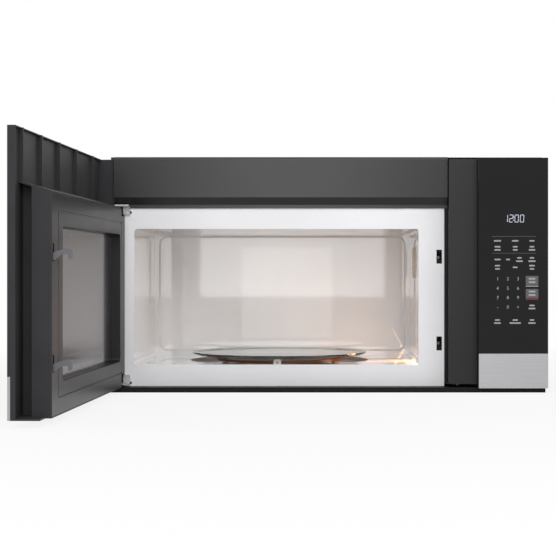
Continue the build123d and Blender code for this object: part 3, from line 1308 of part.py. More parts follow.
with BuildPart() as exhaust_collar:
    with BuildSketch(plan(HEIGHT)):
        block(0, EXHAUST_Y, EXHAUST_WIDTH + 2 * COLLAR_FLANGE, EXHAUST_LENGTH + 2 * COLLAR_FLANGE)
    extrude(amount=COLLAR_T)
    with BuildSketch(plan(HEIGHT)):
        block(0, EXHAUST_Y, EXHAUST_WIDTH, EXHAUST_LENGTH)
    extrude(amount=COLLAR_HEIGHT)
    with BuildSketch(plan(HEIGHT)):
        block(0, EXHAUST_Y, duct_inside, EXHAUST_LENGTH - 2 * COLLAR_T)
    extrude(amount=COLLAR_HEIGHT, mode=Mode.SUBTRACT)
    # holes for the pivots of the damper
    with BuildSketch(side_view(-EXHAUST_WIDTH / 2)):
        with Locations((damper_y, damper_z)):
            Circle(DAMPER_PIN_R + RUNNING)
    extrude(amount=EXHAUST_WIDTH, mode=Mode.SUBTRACT)
save(exhaust_collar.part, "exhaust_collar")

with BuildPart() as exhaust_damper:
    flap_half = duct_inside / 2 - DAMPER_GAP
    flap_front = -EXHAUST_BACK - EXHAUST_LENGTH + COLLAR_T + DAMPER_GAP
    with BuildSketch(side_view(-EXHAUST_WIDTH / 2)):
        with Locations((damper_y, damper_z)):
            Circle(DAMPER_PIN_R)
    extrude(amount=EXHAUST_WIDTH)
    with BuildSketch(plan(damper_z - DAMPER_T / 2)):
        between(-flap_half, flap_half, flap_front, damper_y)
    extrude(amount=DAMPER_T)
    # stiffening rib pressed along the middle of the flap
    with BuildSketch(plan(damper_z)):
        block(0, EXHAUST_Y, 2 * (flap_half - DAMPER_RIB_END), DAMPER_RIB)
    extrude(amount=DAMPER_RIB_T)
save(exhaust_damper.part, "exhaust_damper")

motor_half = BLOWER_MOTOR_LENGTH / 2
wheel_start = motor_half + BLOWER_MOTOR_GAP
wheels = (("left", -wheel_start - WHEEL_LENGTH), ("right", wheel_start))
outlet_back = BLOWER_Y + BLOWER_R
outlet_front = outlet_back - OUTLET_DEPTH


def blower_round(radius, mode=Mode.ADD):
    """Round of the blower in the sketch in progress, drawn with flats."""
    with Locations((BLOWER_Y, BLOWER_Z)):
        RegularPolygon(radius, SIDES, mode=mode)


with BuildPart() as blower_housing:
    for place, start_x in wheels:
        scroll_left = start_x - SCROLL_SIDE
        scroll_length = WHEEL_LENGTH + 2 * SCROLL_SIDE
        with BuildSketch(side_view(scroll_left)):
            blower_round(BLOWER_R)
            between(outlet_front, outlet_back, BLOWER_Z, TOP_INSIDE)
        extrude(amount=scroll_length)
        with BuildSketch(side_view(scroll_left + SHEET)):
            blower_round(BLOWER_R - SHEET)
            between(outlet_front + SHEET, outlet_back - SHEET, BLOWER_Z, TOP_INSIDE)
        extrude(amount=scroll_length - 2 * SHEET, mode=Mode.SUBTRACT)
        # round inlets in both side plates
        with BuildSketch(side_view(scroll_left)):
            blower_round(WHEEL_R - BLADE_DEPTH)
        extrude(amount=scroll_length, mode=Mode.SUBTRACT)
    # plate that ties the scrolls and the motor to the top of the cabinet
    tie_half = wheel_start + WHEEL_LENGTH + SCROLL_SIDE
    with BuildSketch(plan(TOP_INSIDE)):
        between(-tie_half, tie_half, outlet_front - TIE_DEPTH, outlet_front)
    extrude(amount=-SHEET)
save(blower_housing.part, "blower_housing")

with BuildPart() as blower_motor:
    with BuildSketch(side_view(-motor_half)):
        blower_round(WHEEL_R)
        between(BLOWER_Y - MOTOR_ARM, outlet_front - TIE_DEPTH, BLOWER_Z, TOP_INSIDE)
    extrude(amount=BLOWER_MOTOR_LENGTH)
    with BuildSketch(side_view(-motor_half)):
        with Locations((BLOWER_Y, BLOWER_Z)):
            Circle(BLOWER_SHAFT_R + RUNNING)
    extrude(amount=BLOWER_MOTOR_LENGTH, mode=Mode.SUBTRACT)
save(blower_motor.part, "blower_motor")

for place, start_x in wheels:
    far_rim = start_x + WHEEL_LENGTH - WHEEL_RIM
    hub_x = far_rim if place == "left" else start_x
    shaft_from = min(0, hub_x)
    shaft_to = max(0, hub_x + WHEEL_RIM)
    with BuildPart() as wheel:
        for x in (start_x, far_rim):
            with BuildSketch(side_view(x)):
                blower_round(WHEEL_R)
                blower_round(WHEEL_R - BLADE_DEPTH, Mode.SUBTRACT)
            extrude(amount=WHEEL_RIM)
        with BuildSketch(side_view(start_x)):
            with Locations((BLOWER_Y, BLOWER_Z)):
                with PolarLocations(WHEEL_R - BLADE_DEPTH / 2, WHEEL_BLADES):
                    Rectangle(BLADE_DEPTH - 2 * BLADE_INSET, BLADE_T, rotation=BLADE_ANGLE)
        extrude(amount=WHEEL_LENGTH)
        # disc at the motor end, and the wheel's half of the shaft
        with BuildSketch(side_view(hub_x)):
            blower_round(WHEEL_R)
        extrude(amount=WHEEL_RIM)
        with BuildSketch(side_view(shaft_from)):
            with Locations((BLOWER_Y, BLOWER_Z)):
                Circle(BLOWER_SHAFT_R)
        extrude(amount=shaft_to - shaft_from)
    save(wheel.part, f"blower_wheel_{place}")

for place, x in (("left", -FILTER_X), ("right", FILTER_X)):
    with BuildPart() as grease_filter:
        with BuildSketch(plan(SHEET)):
            block(x, FILTER_Y, FILTER_WIDTH, FILTER_LENGTH)
        extrude(amount=FILTER_T)
        # the mesh lies back from the frame on both faces
        for z in (SHEET, SHEET + FILTER_T - FILTER_PRESS):
            with BuildSketch(plan(z)):
                block(x, FILTER_Y, FILTER_WIDTH - 2 * FILTER_FRAME, FILTER_LENGTH - 2 * FILTER_FRAME)
            extrude(amount=FILTER_PRESS, mode=Mode.SUBTRACT)
    save(grease_filter.part, f"grease_filter_{place}")

for place, x in (("left", -LAMP_X), ("right", LAMP_X)):
    with BuildPart() as lamp_lens:
        with BuildSketch(plan(SHEET)):
            block(x, LAMP_Y, LENS_WIDTH, LENS_LENGTH)
        extrude(amount=LENS_T)
    save(lamp_lens.part, f"lamp_lens_{place}")

with BuildPart() as cooktop_lamps:
    lens_top = SHEET + LENS_T
    chip_plate = lens_top + LAMP_LIFT
    for x in (-LAMP_X, LAMP_X):
        with BuildSketch(plan(chip_plate)):
            block(x, LAMP_Y, LENS_WIDTH - 2 * LAMP_INSET, LAMP_PLATE)
        extrude(amount=LAMP_PLATE_T)
        with BuildSketch(plan(chip_plate)):
            with Locations((x, LAMP_Y)):
                with GridLocations(LAMP_CHIP_PITCH, 0, 3, 1):
                    Rectangle(LAMP_CHIP, LAMP_CHIP)
        extrude(amount=-LAMP_INSET)
        with BuildSketch(plan(lens_top)):
            with Locations((x, LAMP_Y)):
                with GridLocations(LENS_WIDTH - 2 * LAMP_INSET + LAMP_LEG, 0, 2, 1):
                    Rectangle(LAMP_LEG, LAMP_LEG_WIDTH)
        extrude(amount=LAMP_LIFT + LAMP_PLATE_T)
save(cooktop_lamps.part, "cooktop_lamps")

# ------------------------------------------- microwave power and cooling
with BuildPart() as waveguide:
    with BuildSketch(side_view(wall_x)):
        between(guide_y - MOUTH_WIDTH / 2 - GUIDE_WALL, guide_y + MOUTH_WIDTH / 2 + GUIDE_WALL,
                mouth_z - GUIDE_BELOW, mouth_z + GUIDE_ABOVE)
    extrude(amount=GUIDE_DEPTH)
    outer_edges = waveguide.edges().filter_by(Axis.Y).group_by(Axis.X)[-1]
    chamfer(outer_edges.sort_by(Axis.Z)[-1], GUIDE_BEVEL)
    with BuildSketch(side_view(wall_x)):
        block(guide_y, mouth_z, MOUTH_WIDTH, MOUTH_HEIGHT)
    extrude(amount=GUIDE_DEPTH / 2, mode=Mode.SUBTRACT)
save(waveguide.part, "waveguide")

with BuildPart() as waveguide_cover:
    with BuildSketch(side_view(LINER_RIGHT)):
        rounded(guide_y, mouth_z, MOUTH_WIDTH + 2 * MOUTH_LAP_X, MOUTH_HEIGHT + 2 * MOUTH_LAP_Z,
                GUIDE_WALL)
    extrude(amount=-SHEET)
save(waveguide_cover.part, "waveguide_cover")

with BuildPart() as magnetron:
    tube_x = wall_x + GUIDE_DEPTH
    tube_z = mouth_z - TUBE_DROP
    # anode block with its stack of cooling fins
    with BuildSketch(side_view(tube_x)):
        block(guide_y, tube_z, ANODE, ANODE)
    extrude(amount=TUBE_LENGTH)
    first_fin = tube_x + (TUBE_LENGTH - (FINS - 1) * FIN_PITCH) / 2
    for fin in range(FINS):
        with BuildSketch(side_view(first_fin + fin * FIN_PITCH)):
            block(guide_y, tube_z, TUBE_WIDTH - 2 * YOKE_T, TUBE_HEIGHT - 2 * YOKE_T)
        extrude(amount=FIN_T)
    # ring magnets at both ends of the tube
    for x in (tube_x + YOKE_T, tube_x + TUBE_LENGTH - YOKE_T - MAGNET_T):
        with BuildSketch(side_view(x)):
            with Locations((guide_y, tube_z)):
                RegularPolygon(MAGNET_R, SIDES)
        extrude(amount=MAGNET_T)
    # open yoke of folded plate
    for x in (tube_x, tube_x + TUBE_LENGTH - YOKE_T):
        with BuildSketch(side_view(x)):
            block(guide_y, tube_z, TUBE_WIDTH, TUBE_HEIGHT)
        extrude(amount=YOKE_T)
    with BuildSketch(side_view(tube_x)):
        with Locations((guide_y, tube_z)):
            with GridLocations(0, TUBE_HEIGHT - YOKE_T, 1, 2):
                Rectangle(TUBE_WIDTH, YOKE_T)
    extrude(amount=TUBE_LENGTH)
    # box over the filament terminals
    with BuildSketch(side_view(tube_x + TUBE_LENGTH)):
        block(guide_y, tube_z, FILTER_BOX, FILTER_BOX)
    extrude(amount=FILTER_BOX_LENGTH)
save(magnetron.part, "magnetron")

power_x = RIGHT - POWER_INSET
core_y = FRONT + CORE_SETBACK

with BuildPart() as hv_transformer:
    with BuildSketch(plan(SHEET)):
        block(power_x, core_y, CORE_WIDTH, CORE_LENGTH)
    extrude(amount=CORE_HEIGHT)
    with BuildSketch(plan(SHEET + COIL_LIFT)) as coil:
        block(power_x, core_y, COIL_WIDTH, COIL_LENGTH)
        chamfer(coil.vertices(), COIL_BEVEL)
    extrude(amount=COIL_HEIGHT)
    with BuildSketch(plan(SHEET)):
        block(power_x, core_y, CORE_WIDTH + 2 * CORE_FOOT, CORE_LENGTH - 2 * CORE_FOOT)
    extrude(amount=CORE_FOOT_T)
save(hv_transformer.part, "hv_transformer")

with BuildPart() as hv_capacitor:
    can_x = RIGHT - CAPACITOR_INSET
    with BuildSketch(plan(SHEET)):
        with Locations((can_x, -CAPACITOR_REAR)):
            SlotOverall(CAPACITOR_WIDTH, CAPACITOR_LENGTH)
    extrude(amount=CAPACITOR_HEIGHT)
    with BuildSketch(plan(SHEET + CAPACITOR_HEIGHT)):
        with Locations((can_x, -CAPACITOR_REAR)):
            with GridLocations(TAB_PITCH, 0, 2, 1):
                Rectangle(TAB_T, TAB_WIDTH)
    extrude(amount=TAB_HEIGHT)
save(hv_capacitor.part, "hv_capacitor")

with BuildPart() as noise_filter:
    noise_x = CORD_X - NOISE_LEFT
    noise_y = CORD_Y - NOISE_FRONT
    noise_z = TOP_INSIDE - NOISE_DROP
    with BuildSketch(plan(noise_z)):
        block(noise_x, noise_y, NOISE_WIDTH, NOISE_LENGTH)
    extrude(amount=BOARD_T)
    with BuildSketch(plan(noise_z)):
        with Locations((noise_x, noise_y)):
            with GridLocations(NOISE_WIDTH - 2 * NOISE_POST, NOISE_LENGTH - 2 * NOISE_POST, 2, 2):
                Rectangle(NOISE_POST, NOISE_POST)
    extrude(amount=NOISE_DROP)
    # choke coil on its core, under the board
    with BuildSketch(plan(noise_z)):
        block(noise_x, noise_y, NOISE_COIL, NOISE_COIL)
        block(noise_x, noise_y, NOISE_COIL_HOLE, NOISE_COIL_HOLE, Mode.SUBTRACT)
    extrude(amount=-NOISE_COIL_HOLE)
save(noise_filter.part, "noise_filter")

fan_y = -FAN_REAR
motor_front = fan_y + FAN_ARM_BACK

with BuildPart() as fan_shroud:
    with BuildSketch(front_view(fan_y)):
        block(power_x, FAN_Z, FAN_PLATE, FAN_PLATE)
        between(power_x - FAN_LEG / 2, power_x + FAN_LEG / 2, SHEET, FAN_Z)
        with Locations((power_x, FAN_Z)):
            Circle(FAN_HOLE_R, mode=Mode.SUBTRACT)
    extrude(amount=-FAN_PLATE_T)
    # bar behind the hole that carries the motor
    for side in (-1, 1):
        with BuildSketch(front_view(fan_y)):
            block(power_x, FAN_Z + side * (FAN_HOLE_R + FAN_ARM / 4), FAN_ARM, FAN_ARM / 2)
        extrude(amount=-FAN_ARM_BACK)
    with BuildSketch(front_view(motor_front - FAN_PLATE_T)):
        block(power_x, FAN_Z, FAN_ARM, 2 * FAN_HOLE_R + FAN_ARM)
        block(power_x, FAN_Z, 2 * FAN_HUB_R, 2 * FAN_HUB_R)
        block(power_x, FAN_Z, FAN_ARM, FAN_ARM, Mode.SUBTRACT)
    extrude(amount=-FAN_PLATE_T)
save(fan_shroud.part, "fan_shroud")

with BuildPart() as fan_motor:
    with BuildSketch(front_view(motor_front)):
        block(power_x, FAN_Z, FAN_MOTOR_WIDTH, FAN_MOTOR_HEIGHT)
        with Locations((power_x, FAN_Z)):
            Circle(FAN_SHAFT_R + RUNNING, mode=Mode.SUBTRACT)
    extrude(amount=-FAN_MOTOR_T)
save(fan_motor.part, "fan_motor")

with BuildPart() as fan_wheel:
    hub_front = fan_y + FAN_PLATE_T
    with BuildSketch(front_view(hub_front)):
        with Locations((power_x, FAN_Z)):
            RegularPolygon(FAN_HUB_R, SIDES)
    extrude(amount=-FAN_HUB_T)
    with BuildSketch(front_view(hub_front + FAN_HUB_T)):
        with Locations((power_x, FAN_Z)):
            Circle(FAN_SHAFT_R)
    extrude(amount=-FAN_MOTOR_T)
    # pitched blades, each a flat vane that stands out from the hub
    for blade in range(FAN_BLADES):
        turn = math.tau * blade / FAN_BLADES
        pitch = math.radians(FAN_PITCH)
        outward = Vector(math.cos(turn), 0, math.sin(turn))
        sideways = Vector(-math.sin(turn), 0, math.cos(turn))
        along = sideways * math.cos(pitch) + Vector(0, math.sin(pitch), 0)
        middle = Vector(power_x, hub_front + FAN_HUB_T / 2, FAN_Z)
        with BuildSketch(Plane(origin=middle + outward * FAN_HUB_R / 2, x_dir=along, z_dir=outward)):
            Rectangle(FAN_BLADE_WIDTH, FAN_BLADE_T)
        extrude(amount=FAN_BLADE_END - FAN_HUB_R / 2)
save(fan_wheel.part, "fan_wheel")

with BuildPart() as cavity_lamp:
    lamp_y = TABLE_Y - CAVITY_LAMP_FORWARD
    lamp_z = mouth_z - GUIDE_BELOW - CAVITY_LAMP_HEIGHT / 2 - CAVITY_LAMP_GAP
    with BuildSketch(side_view(wall_x)):
        block(lamp_y, lamp_z, CAVITY_LAMP_WIDTH, CAVITY_LAMP_HEIGHT)
    extrude(amount=CAVITY_LAMP_T)
    with BuildSketch(side_view(wall_x + CAVITY_LAMP_T)):
        with Locations((lamp_y, lamp_z)):
            RegularPolygon(BULB_R, SIDES)
    extrude(amount=BULB_LENGTH)
save(cavity_lamp.part, "cavity_lamp")

# -------------------------------------------------------- small hardware
with BuildPart() as cord_bushing:
    with BuildSketch(plan(HEIGHT)):
        with Locations((CORD_X, CORD_Y)):
            RegularPolygon(BUSHING_FLANGE_R, SIDES)
    extrude(amount=BUSHING_FLANGE_T)
    with BuildSketch(plan(HEIGHT)):
        with Locations((CORD_X, CORD_Y)):
            RegularPolygon(BUSHING_R, SIDES)
    extrude(amount=-(BUSHING_LENGTH - BUSHING_FLANGE_T))
    with BuildSketch(plan(HEIGHT + BUSHING_FLANGE_T)):
        with Locations((CORD_X, CORD_Y)):
            Circle(CORD_R)
    extrude(amount=-BUSHING_LENGTH, mode=Mode.SUBTRACT)
save(cord_bushing.part, "cord_bushing")

with BuildPart() as case_screws:
    with BuildSketch(plan(HEIGHT)):
        with Locations((0, -FLANGE / 2)):
            with GridLocations(CASE_SCREW_SPACING, 0, 2, 1):
                RegularPolygon(SCREW_HEAD_R, 6)
    extrude(amount=SCREW_HEAD_T)
    with BuildSketch(plan(HEIGHT)):
        with Locations((0, -FLANGE / 2)):
            with GridLocations(CASE_SCREW_SPACING, 0, 2, 1):
                RegularPolygon(SCREW_R, 6)
    extrude(amount=-3 * SHEET)
save(case_screws.part, "case_screws")
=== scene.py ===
# %% [markdown]
# # An over the range microwave, with its door open
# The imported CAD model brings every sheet, moulding and hinge in its real place.
# This lesson gives those pieces the finish that the real ones have, adds the thin
# printed and pressed detail that a CAD model leaves out, and lights the oven softly.
# Everything is in metres, +Z up, with the front of the oven towards -Y.

import math

import bpy
import numpy as np
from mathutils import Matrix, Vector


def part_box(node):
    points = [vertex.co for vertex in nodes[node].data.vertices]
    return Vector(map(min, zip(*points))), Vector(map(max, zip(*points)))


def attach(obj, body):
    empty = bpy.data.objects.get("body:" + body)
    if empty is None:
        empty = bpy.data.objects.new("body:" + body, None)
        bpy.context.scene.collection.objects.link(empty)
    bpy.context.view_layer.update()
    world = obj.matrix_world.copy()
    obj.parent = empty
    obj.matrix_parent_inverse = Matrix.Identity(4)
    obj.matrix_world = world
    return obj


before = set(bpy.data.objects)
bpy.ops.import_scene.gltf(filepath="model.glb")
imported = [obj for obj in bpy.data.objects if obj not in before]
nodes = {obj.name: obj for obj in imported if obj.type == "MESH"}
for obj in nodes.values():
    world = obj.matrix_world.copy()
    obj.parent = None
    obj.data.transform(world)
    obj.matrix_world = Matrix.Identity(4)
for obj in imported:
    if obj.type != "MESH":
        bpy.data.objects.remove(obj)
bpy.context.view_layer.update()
MM = 0.001
print("CAD nodes:", len(nodes))

# %% [markdown]
# ## Places that many pieces share
# The printed marks and pressed details sit on CAD nodes, so their places are read
# from those nodes' boxes. A piece that is measured from a neighbour stays right when
# that neighbour changes size.

# %% Read the shared places
glass_low, glass_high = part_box("control_glass")
liner_low, liner_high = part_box("cavity_liner")
plate_low, plate_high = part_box("front_plate")
PRINT = 0.00004                     # height of a printed mark above its glass
panel_y = glass_low.y - PRINT
print("control glass, width and height in mm:",
      round((glass_high.x - glass_low.x) / MM), round((glass_high.z - glass_low.z) / MM))

# %% [markdown]
# ## Colours and nodes
# A paint chart gives a colour as a hex value of sRGB, which is how the eye sees it on
# a screen. Blender's shaders want linear light, so one function turns one into the
# other. A second small function adds any node with its settings and links, which
# keeps each material short enough to read as a recipe.

# %% Colour and node helpers
def linear(hex_text):
    """sRGB hex to linear light: divide by 12.92 near black, else ((c + 0.055) / 1.055) ^ 2.4."""
    parts = [int(hex_text[k:k + 2], 16) / 255 for k in (1, 3, 5)]
    return tuple(c / 12.92 if c <= 0.04045 else ((c + 0.055) / 1.055) ** 2.4 for c in parts) + (1.0,)


def add(tree, kind, inputs=None, **settings):
    """Add one node. inputs maps a socket to a value or to another node's output."""
    node = tree.nodes.new(kind)
    for name, value in settings.items():
        setattr(node, name, value)
    for name, value in (inputs or {}).items():
        if isinstance(value, bpy.types.NodeSocket):
            tree.links.new(value, node.inputs[name])
        else:
            node.inputs[name].default_value = value
    return node


def new_material(name):
    """An empty node material and its tree."""
    material = bpy.data.materials.new(name)
    material.use_nodes = True
    material.node_tree.nodes.clear()
    return material, material.node_tree


def show(tree, shader):
    """Send a shader to the material's output."""
    add(tree, "ShaderNodeOutputMaterial", {"Surface": shader.outputs[0]})


def grain(tree, size, stretch=(1, 1, 1), detail=3.0):
    """Noise on Object coordinates whose blotches are about size metres wide, longer along stretch."""
    place = add(tree, "ShaderNodeTexCoord")
    spread = add(tree, "ShaderNodeMapping", {"Vector": place.outputs["Object"],
                                             "Scale": tuple(1 / s for s in stretch)})
    return add(tree, "ShaderNodeTexNoise", {"Vector": spread.outputs[0], "Scale": 1 / size,
                                            "Detail": detail}).outputs["Fac"]


def between(tree, fac, dark, light, low=0.3, high=0.7):
    """Turn a pattern into colours: dark below low, light above high."""
    ramp = add(tree, "ShaderNodeValToRGB", {"Fac": fac})
    ramp.color_ramp.elements[0].position = low
    ramp.color_ramp.elements[0].color = linear(dark)
    ramp.color_ramp.elements[1].position = high
    ramp.color_ramp.elements[1].color = linear(light)
    return ramp.outputs["Color"]


def spread(tree, fac, low, high):
    """Turn a pattern of 0 to 1 into numbers from low to high, such as a roughness."""
    return add(tree, "ShaderNodeMapRange", {"Value": fac, "To Min": low, "To Max": high}).outputs[0]


def relief(tree, height, depth):
    """Bump from a pattern that stands depth metres high."""
    return add(tree, "ShaderNodeBump", {"Height": height, "Distance": depth,
                                        "Strength": 1.0}).outputs[0]


def names_of(*materials):
    """The names of some materials, for printing."""
    return [material.name for material in materials]


# %% [markdown]
# ## Sheet steel
# The casing is folded from steel sheet. What shows of it outside is sprayed satin
# black and baked, which leaves a faint orange peel about 2 mm across. The hidden
# sheets are left as galvanised steel, whose zinc crystals give pale patches of a few
# millimetres. Bump gives the peel, and a Voronoi pattern gives the crystals.

# %% Paint, zinc and stainless steel
def baked_paint(name, dark, light, roughness, peel=0.00002, gloss=0.15):
    """Baked paint on sheet steel: an even colour, orange peel 2 mm across, a low gloss."""
    material, tree = new_material(name)
    peel_pattern = grain(tree, 0.002, detail=1.0)
    cloud = grain(tree, 0.09)
    show(tree, add(tree, "ShaderNodeBsdfPrincipled", {
        "Base Color": between(tree, cloud, dark, light),
        "Roughness": spread(tree, cloud, roughness - 0.04, roughness + 0.06),
        "Specular IOR Level": gloss,
        "Normal": relief(tree, peel_pattern, peel),
    }))
    return material


def galvanised_sheet(name, dark="#8d9092", light="#b4b6b6", crystal=0.006):
    """Galvanised sheet: zinc crystals about 6 mm across, each with its own tone and sheen."""
    material, tree = new_material(name)
    place = add(tree, "ShaderNodeTexCoord")
    cells = add(tree, "ShaderNodeTexVoronoi", {"Vector": place.outputs["Object"],
                                               "Scale": 1 / crystal})
    tone = add(tree, "ShaderNodeSeparateColor", {"Color": cells.outputs["Color"]}).outputs[0]
    show(tree, add(tree, "ShaderNodeBsdfPrincipled", {
        "Base Color": between(tree, tone, dark, light, 0.0, 1.0),
        "Metallic": 1.0,
        "Roughness": spread(tree, tone, 0.38, 0.55),
        "Normal": relief(tree, grain(tree, 0.0015), 0.00001),
    }))
    return material


def brushed_stainless(name, along, dark="#9c9c9e", light="#b0b0b2"):
    """Stainless steel brushed along one axis: scratches 80 mm long and 0.8 mm apart.

    Real scratches are about 0.1 mm apart, too fine to show, so they are drawn coarser.
    """
    material, tree = new_material(name)
    long_way, fine = 0.08, 0.0008
    stretch = [long_way / fine if k == along else 1.0 for k in range(3)]
    scratches = grain(tree, fine, stretch, detail=6.0)
    clouds = grain(tree, 0.12)
    colour = between(tree, scratches, dark, light, 0.15, 0.85)
    tint = add(tree, "ShaderNodeMix", {"Factor": spread(tree, clouds, 0.0, 0.3), "A": colour,
                                       "B": linear(dark)}, data_type="RGBA")
    show(tree, add(tree, "ShaderNodeBsdfPrincipled", {
        "Base Color": tint.outputs["Result"],
        "Metallic": 1.0,
        "Roughness": spread(tree, scratches, 0.3, 0.38),
        "Normal": relief(tree, scratches, 0.000006),
    }))
    return material


case_paint = baked_paint("baked_satin_black_steel", "#060606", "#0a0a0a", 0.42)
zinc = galvanised_sheet("galvanised_steel_sheet")
stainless_along_x = brushed_stainless("brushed_stainless_control_side", 0)
stainless_along_y = brushed_stainless("brushed_stainless_door_side", 1)
print("sheet finishes:", names_of(case_paint, zinc, stainless_along_x, stainless_along_y))


# %% [markdown]
# ## Enamel of the oven
# The face round the opening and the inside of the oven are steel with a powder
# enamel, a glassy white coat that is fired on. It is smooth, slightly wavy and
# nearly white. The inside is a little greyer. A coat layer over the base gives the
# sharp reflections, and the base itself stays fairly rough.

# %% Enamel
def fired_enamel(name, dark, light, coat, roughness, gloss=0.12):
    """Fired enamel: pale body, glassy coat of roughness gloss, waves about 12 mm apart."""
    material, tree = new_material(name)
    show(tree, add(tree, "ShaderNodeBsdfPrincipled", {
        "Base Color": between(tree, grain(tree, 0.15), dark, light),
        "Roughness": roughness,
        "Coat Weight": coat,
        "Coat Roughness": gloss,
        "Coat IOR": 1.6,
        "Normal": relief(tree, grain(tree, 0.012, detail=1.0), 0.00002),
    }))
    return material


face_enamel = fired_enamel("white_fired_enamel", "#e6e6e8", "#ececee", 0.3, 0.45)
oven_enamel = fired_enamel("pale_grey_fired_enamel", "#dadadb", "#e2e2e3", 1.0, 0.3, 0.035)
print("enamels:", names_of(face_enamel, oven_enamel))


# %% [markdown]
# ## Moulded plastics
# The fascia, the door moulding and the finger strip are ABS, filled black and
# moulded against a spark eroded tool, so the surface has a fine even grit that
# breaks up its gloss. The top panel was moulded against a polished tool, and mirrors
# the lamps as a soft glow. The resins of the turntable and the latch are plainer.

# %% Plastics
def moulded(name, dark, light, roughness, grit=0.0008, depth=0.00001, gloss=0.5):
    """Moulded thermoplastic: even colour, a grit copied from the tool, and its gloss."""
    material, tree = new_material(name)
    flow = grain(tree, 0.07)
    show(tree, add(tree, "ShaderNodeBsdfPrincipled", {
        "Base Color": between(tree, flow, dark, light),
        "Roughness": spread(tree, flow, roughness - 0.03, roughness + 0.03),
        "Specular IOR Level": gloss,
        "Normal": relief(tree, grain(tree, grit, detail=1.0), depth),
    }))
    return material


strip_abs = moulded("spark_textured_black_abs", "#121213", "#171718", 0.4, gloss=0.3)
door_abs = moulded("matt_grey_door_abs", "#2f2f31", "#353537", 0.5, gloss=0.15)
cover_abs = moulded("semi_gloss_door_cover_abs", "#1e1e20", "#242426", 0.34, gloss=0.2)
vent_abs = moulded("polished_black_abs", "#0a0a0b", "#0e0e0f", 0.26, grit=0.003, depth=0.000004,
                   gloss=0.4)
black_nylon = moulded("black_nylon", "#0a0a0a", "#0f0f0f", 0.5, gloss=0.2)
hook_acetal = moulded("dark_acetal", "#56565a", "#606064", 0.4)
pale_acetal = moulded("natural_acetal", "#c9c8c2", "#d6d5cf", 0.4)
amber_resin = moulded("amber_polysulfone", "#5e2a10", "#7d3c18", 0.3)
roller_resin = moulded("white_roller_resin", "#e2e0da", "#edebe6", 0.35)
lamp_ceramic = moulded("lamp_and_socket_ceramic", "#c9c6bd", "#dcd9d0", 0.5)
carbon_granules = moulded("carbon_granules", "#0b0b0b", "#262626", 0.8, grit=0.003, depth=0.0008)
print("plastics of the face and door:", names_of(strip_abs, door_abs, cover_abs, vent_abs))
print("small resins:", names_of(black_nylon, hook_acetal, pale_acetal, amber_resin, roller_resin))


# %% [markdown]
# ## Glass
# The control glass and the front of the door are soda lime glass printed black on
# the back, so light meets a clear glossy face and nothing behind it. The oven tray
# is pressed soda lime glass, clear and a little green at its rim, where the light
# travels furthest. The lamp lenses are the same glass, frosted.

# %% Glasses
def black_backed_glass(name, dark="#0c0c0d", light="#111112"):
    """Glass with a black print behind it: near black, its polished face coated against glare."""
    material, tree = new_material(name)
    wiped = grain(tree, 0.05, (3, 1, 1))
    show(tree, add(tree, "ShaderNodeBsdfPrincipled", {
        "Base Color": between(tree, wiped, dark, light),
        "Roughness": spread(tree, wiped, 0.06, 0.12),
        "IOR": 1.52,
        "Specular IOR Level": 0.22,
    }))
    return material


def clear_glass(name, tint, roughness, ripple=0.00003):
    """Pressed clear glass: light passes, rims seen at a slant turn green, ripples 15 mm apart.

    The wall of the tray is too thin to bend what lies behind it, so light goes straight
    through, and the Fresnel share of it is mirrored by the polished face.
    """
    material, tree = new_material(name)
    slant = add(tree, "ShaderNodeLayerWeight", {"Blend": 0.35}).outputs["Facing"]
    colour = between(tree, slant, tint[1], tint[0], 0.4, 1.0)
    through = add(tree, "ShaderNodeBsdfTransparent", {"Color": colour})
    wave = relief(tree, grain(tree, 0.015, detail=1.0), ripple)
    mirror = add(tree, "ShaderNodeBsdfGlossy", {"Roughness": roughness, "Normal": wave})
    fresnel = add(tree, "ShaderNodeFresnel", {"IOR": 1.52, "Normal": wave})
    show(tree, add(tree, "ShaderNodeMixShader", {0: fresnel.outputs[0], 1: through.outputs[0],
                                                 2: mirror.outputs[0]}))
    return material


control_face = black_backed_glass("black_backed_glass")
tray_glass = clear_glass("pressed_soda_lime_glass", ("#b4cfc2", "#f2f7f4"), 0.03)
frosted_glass = clear_glass("frosted_soda_lime_glass", ("#e6ebea", "#f2f5f4"), 0.45, 0.0002)


def screened_window(name, pitch=0.0024, hole=0.0015):
    """The door's window: a punched steel screen behind clear film.

    Round holes of 1.5 mm stand 2.4 mm apart in a square grid, worked out from the
    fraction of each coordinate's distance to its nearest hole. The screen stands along
    Y and Z, because the door is open.
    """
    material, tree = new_material(name)
    place = add(tree, "ShaderNodeTexCoord")
    cell = add(tree, "ShaderNodeVectorMath", {0: place.outputs["Object"],
                                              1: (1.0, pitch, pitch)}, operation="DIVIDE")
    wrapped = add(tree, "ShaderNodeVectorMath", {0: cell.outputs[0]}, operation="FRACTION")
    centred = add(tree, "ShaderNodeVectorMath", {0: wrapped.outputs[0], 1: (0.5, 0.5, 0.5)},
                  operation="SUBTRACT")
    flat = add(tree, "ShaderNodeVectorMath", {0: centred.outputs[0], 1: (0.0, 1.0, 1.0)},
               operation="MULTIPLY")
    reach = add(tree, "ShaderNodeVectorMath", {0: flat.outputs[0]}, operation="LENGTH")
    solid = between(tree, reach.outputs["Value"], "#0e0e10", "#343438",
                    hole / pitch / 2 - 0.05, hole / pitch / 2 + 0.05)
    show(tree, add(tree, "ShaderNodeBsdfPrincipled", {
        "Base Color": solid,
        "Roughness": 0.22,
        "Coat Weight": 0.5,
        "Coat Roughness": 0.08,
    }))
    return material


window_screen = screened_window("punched_screen_behind_film")
print("glasses:", names_of(control_face, tray_glass, frosted_glass, window_screen))


# %% [markdown]
# ## Parts inside the casing
# Most of these are hidden, but each has its own real finish: varnished steel
# laminations, bare aluminium, green circuit board, mica and expanded mesh. They
# show when a cover is lifted off the model.

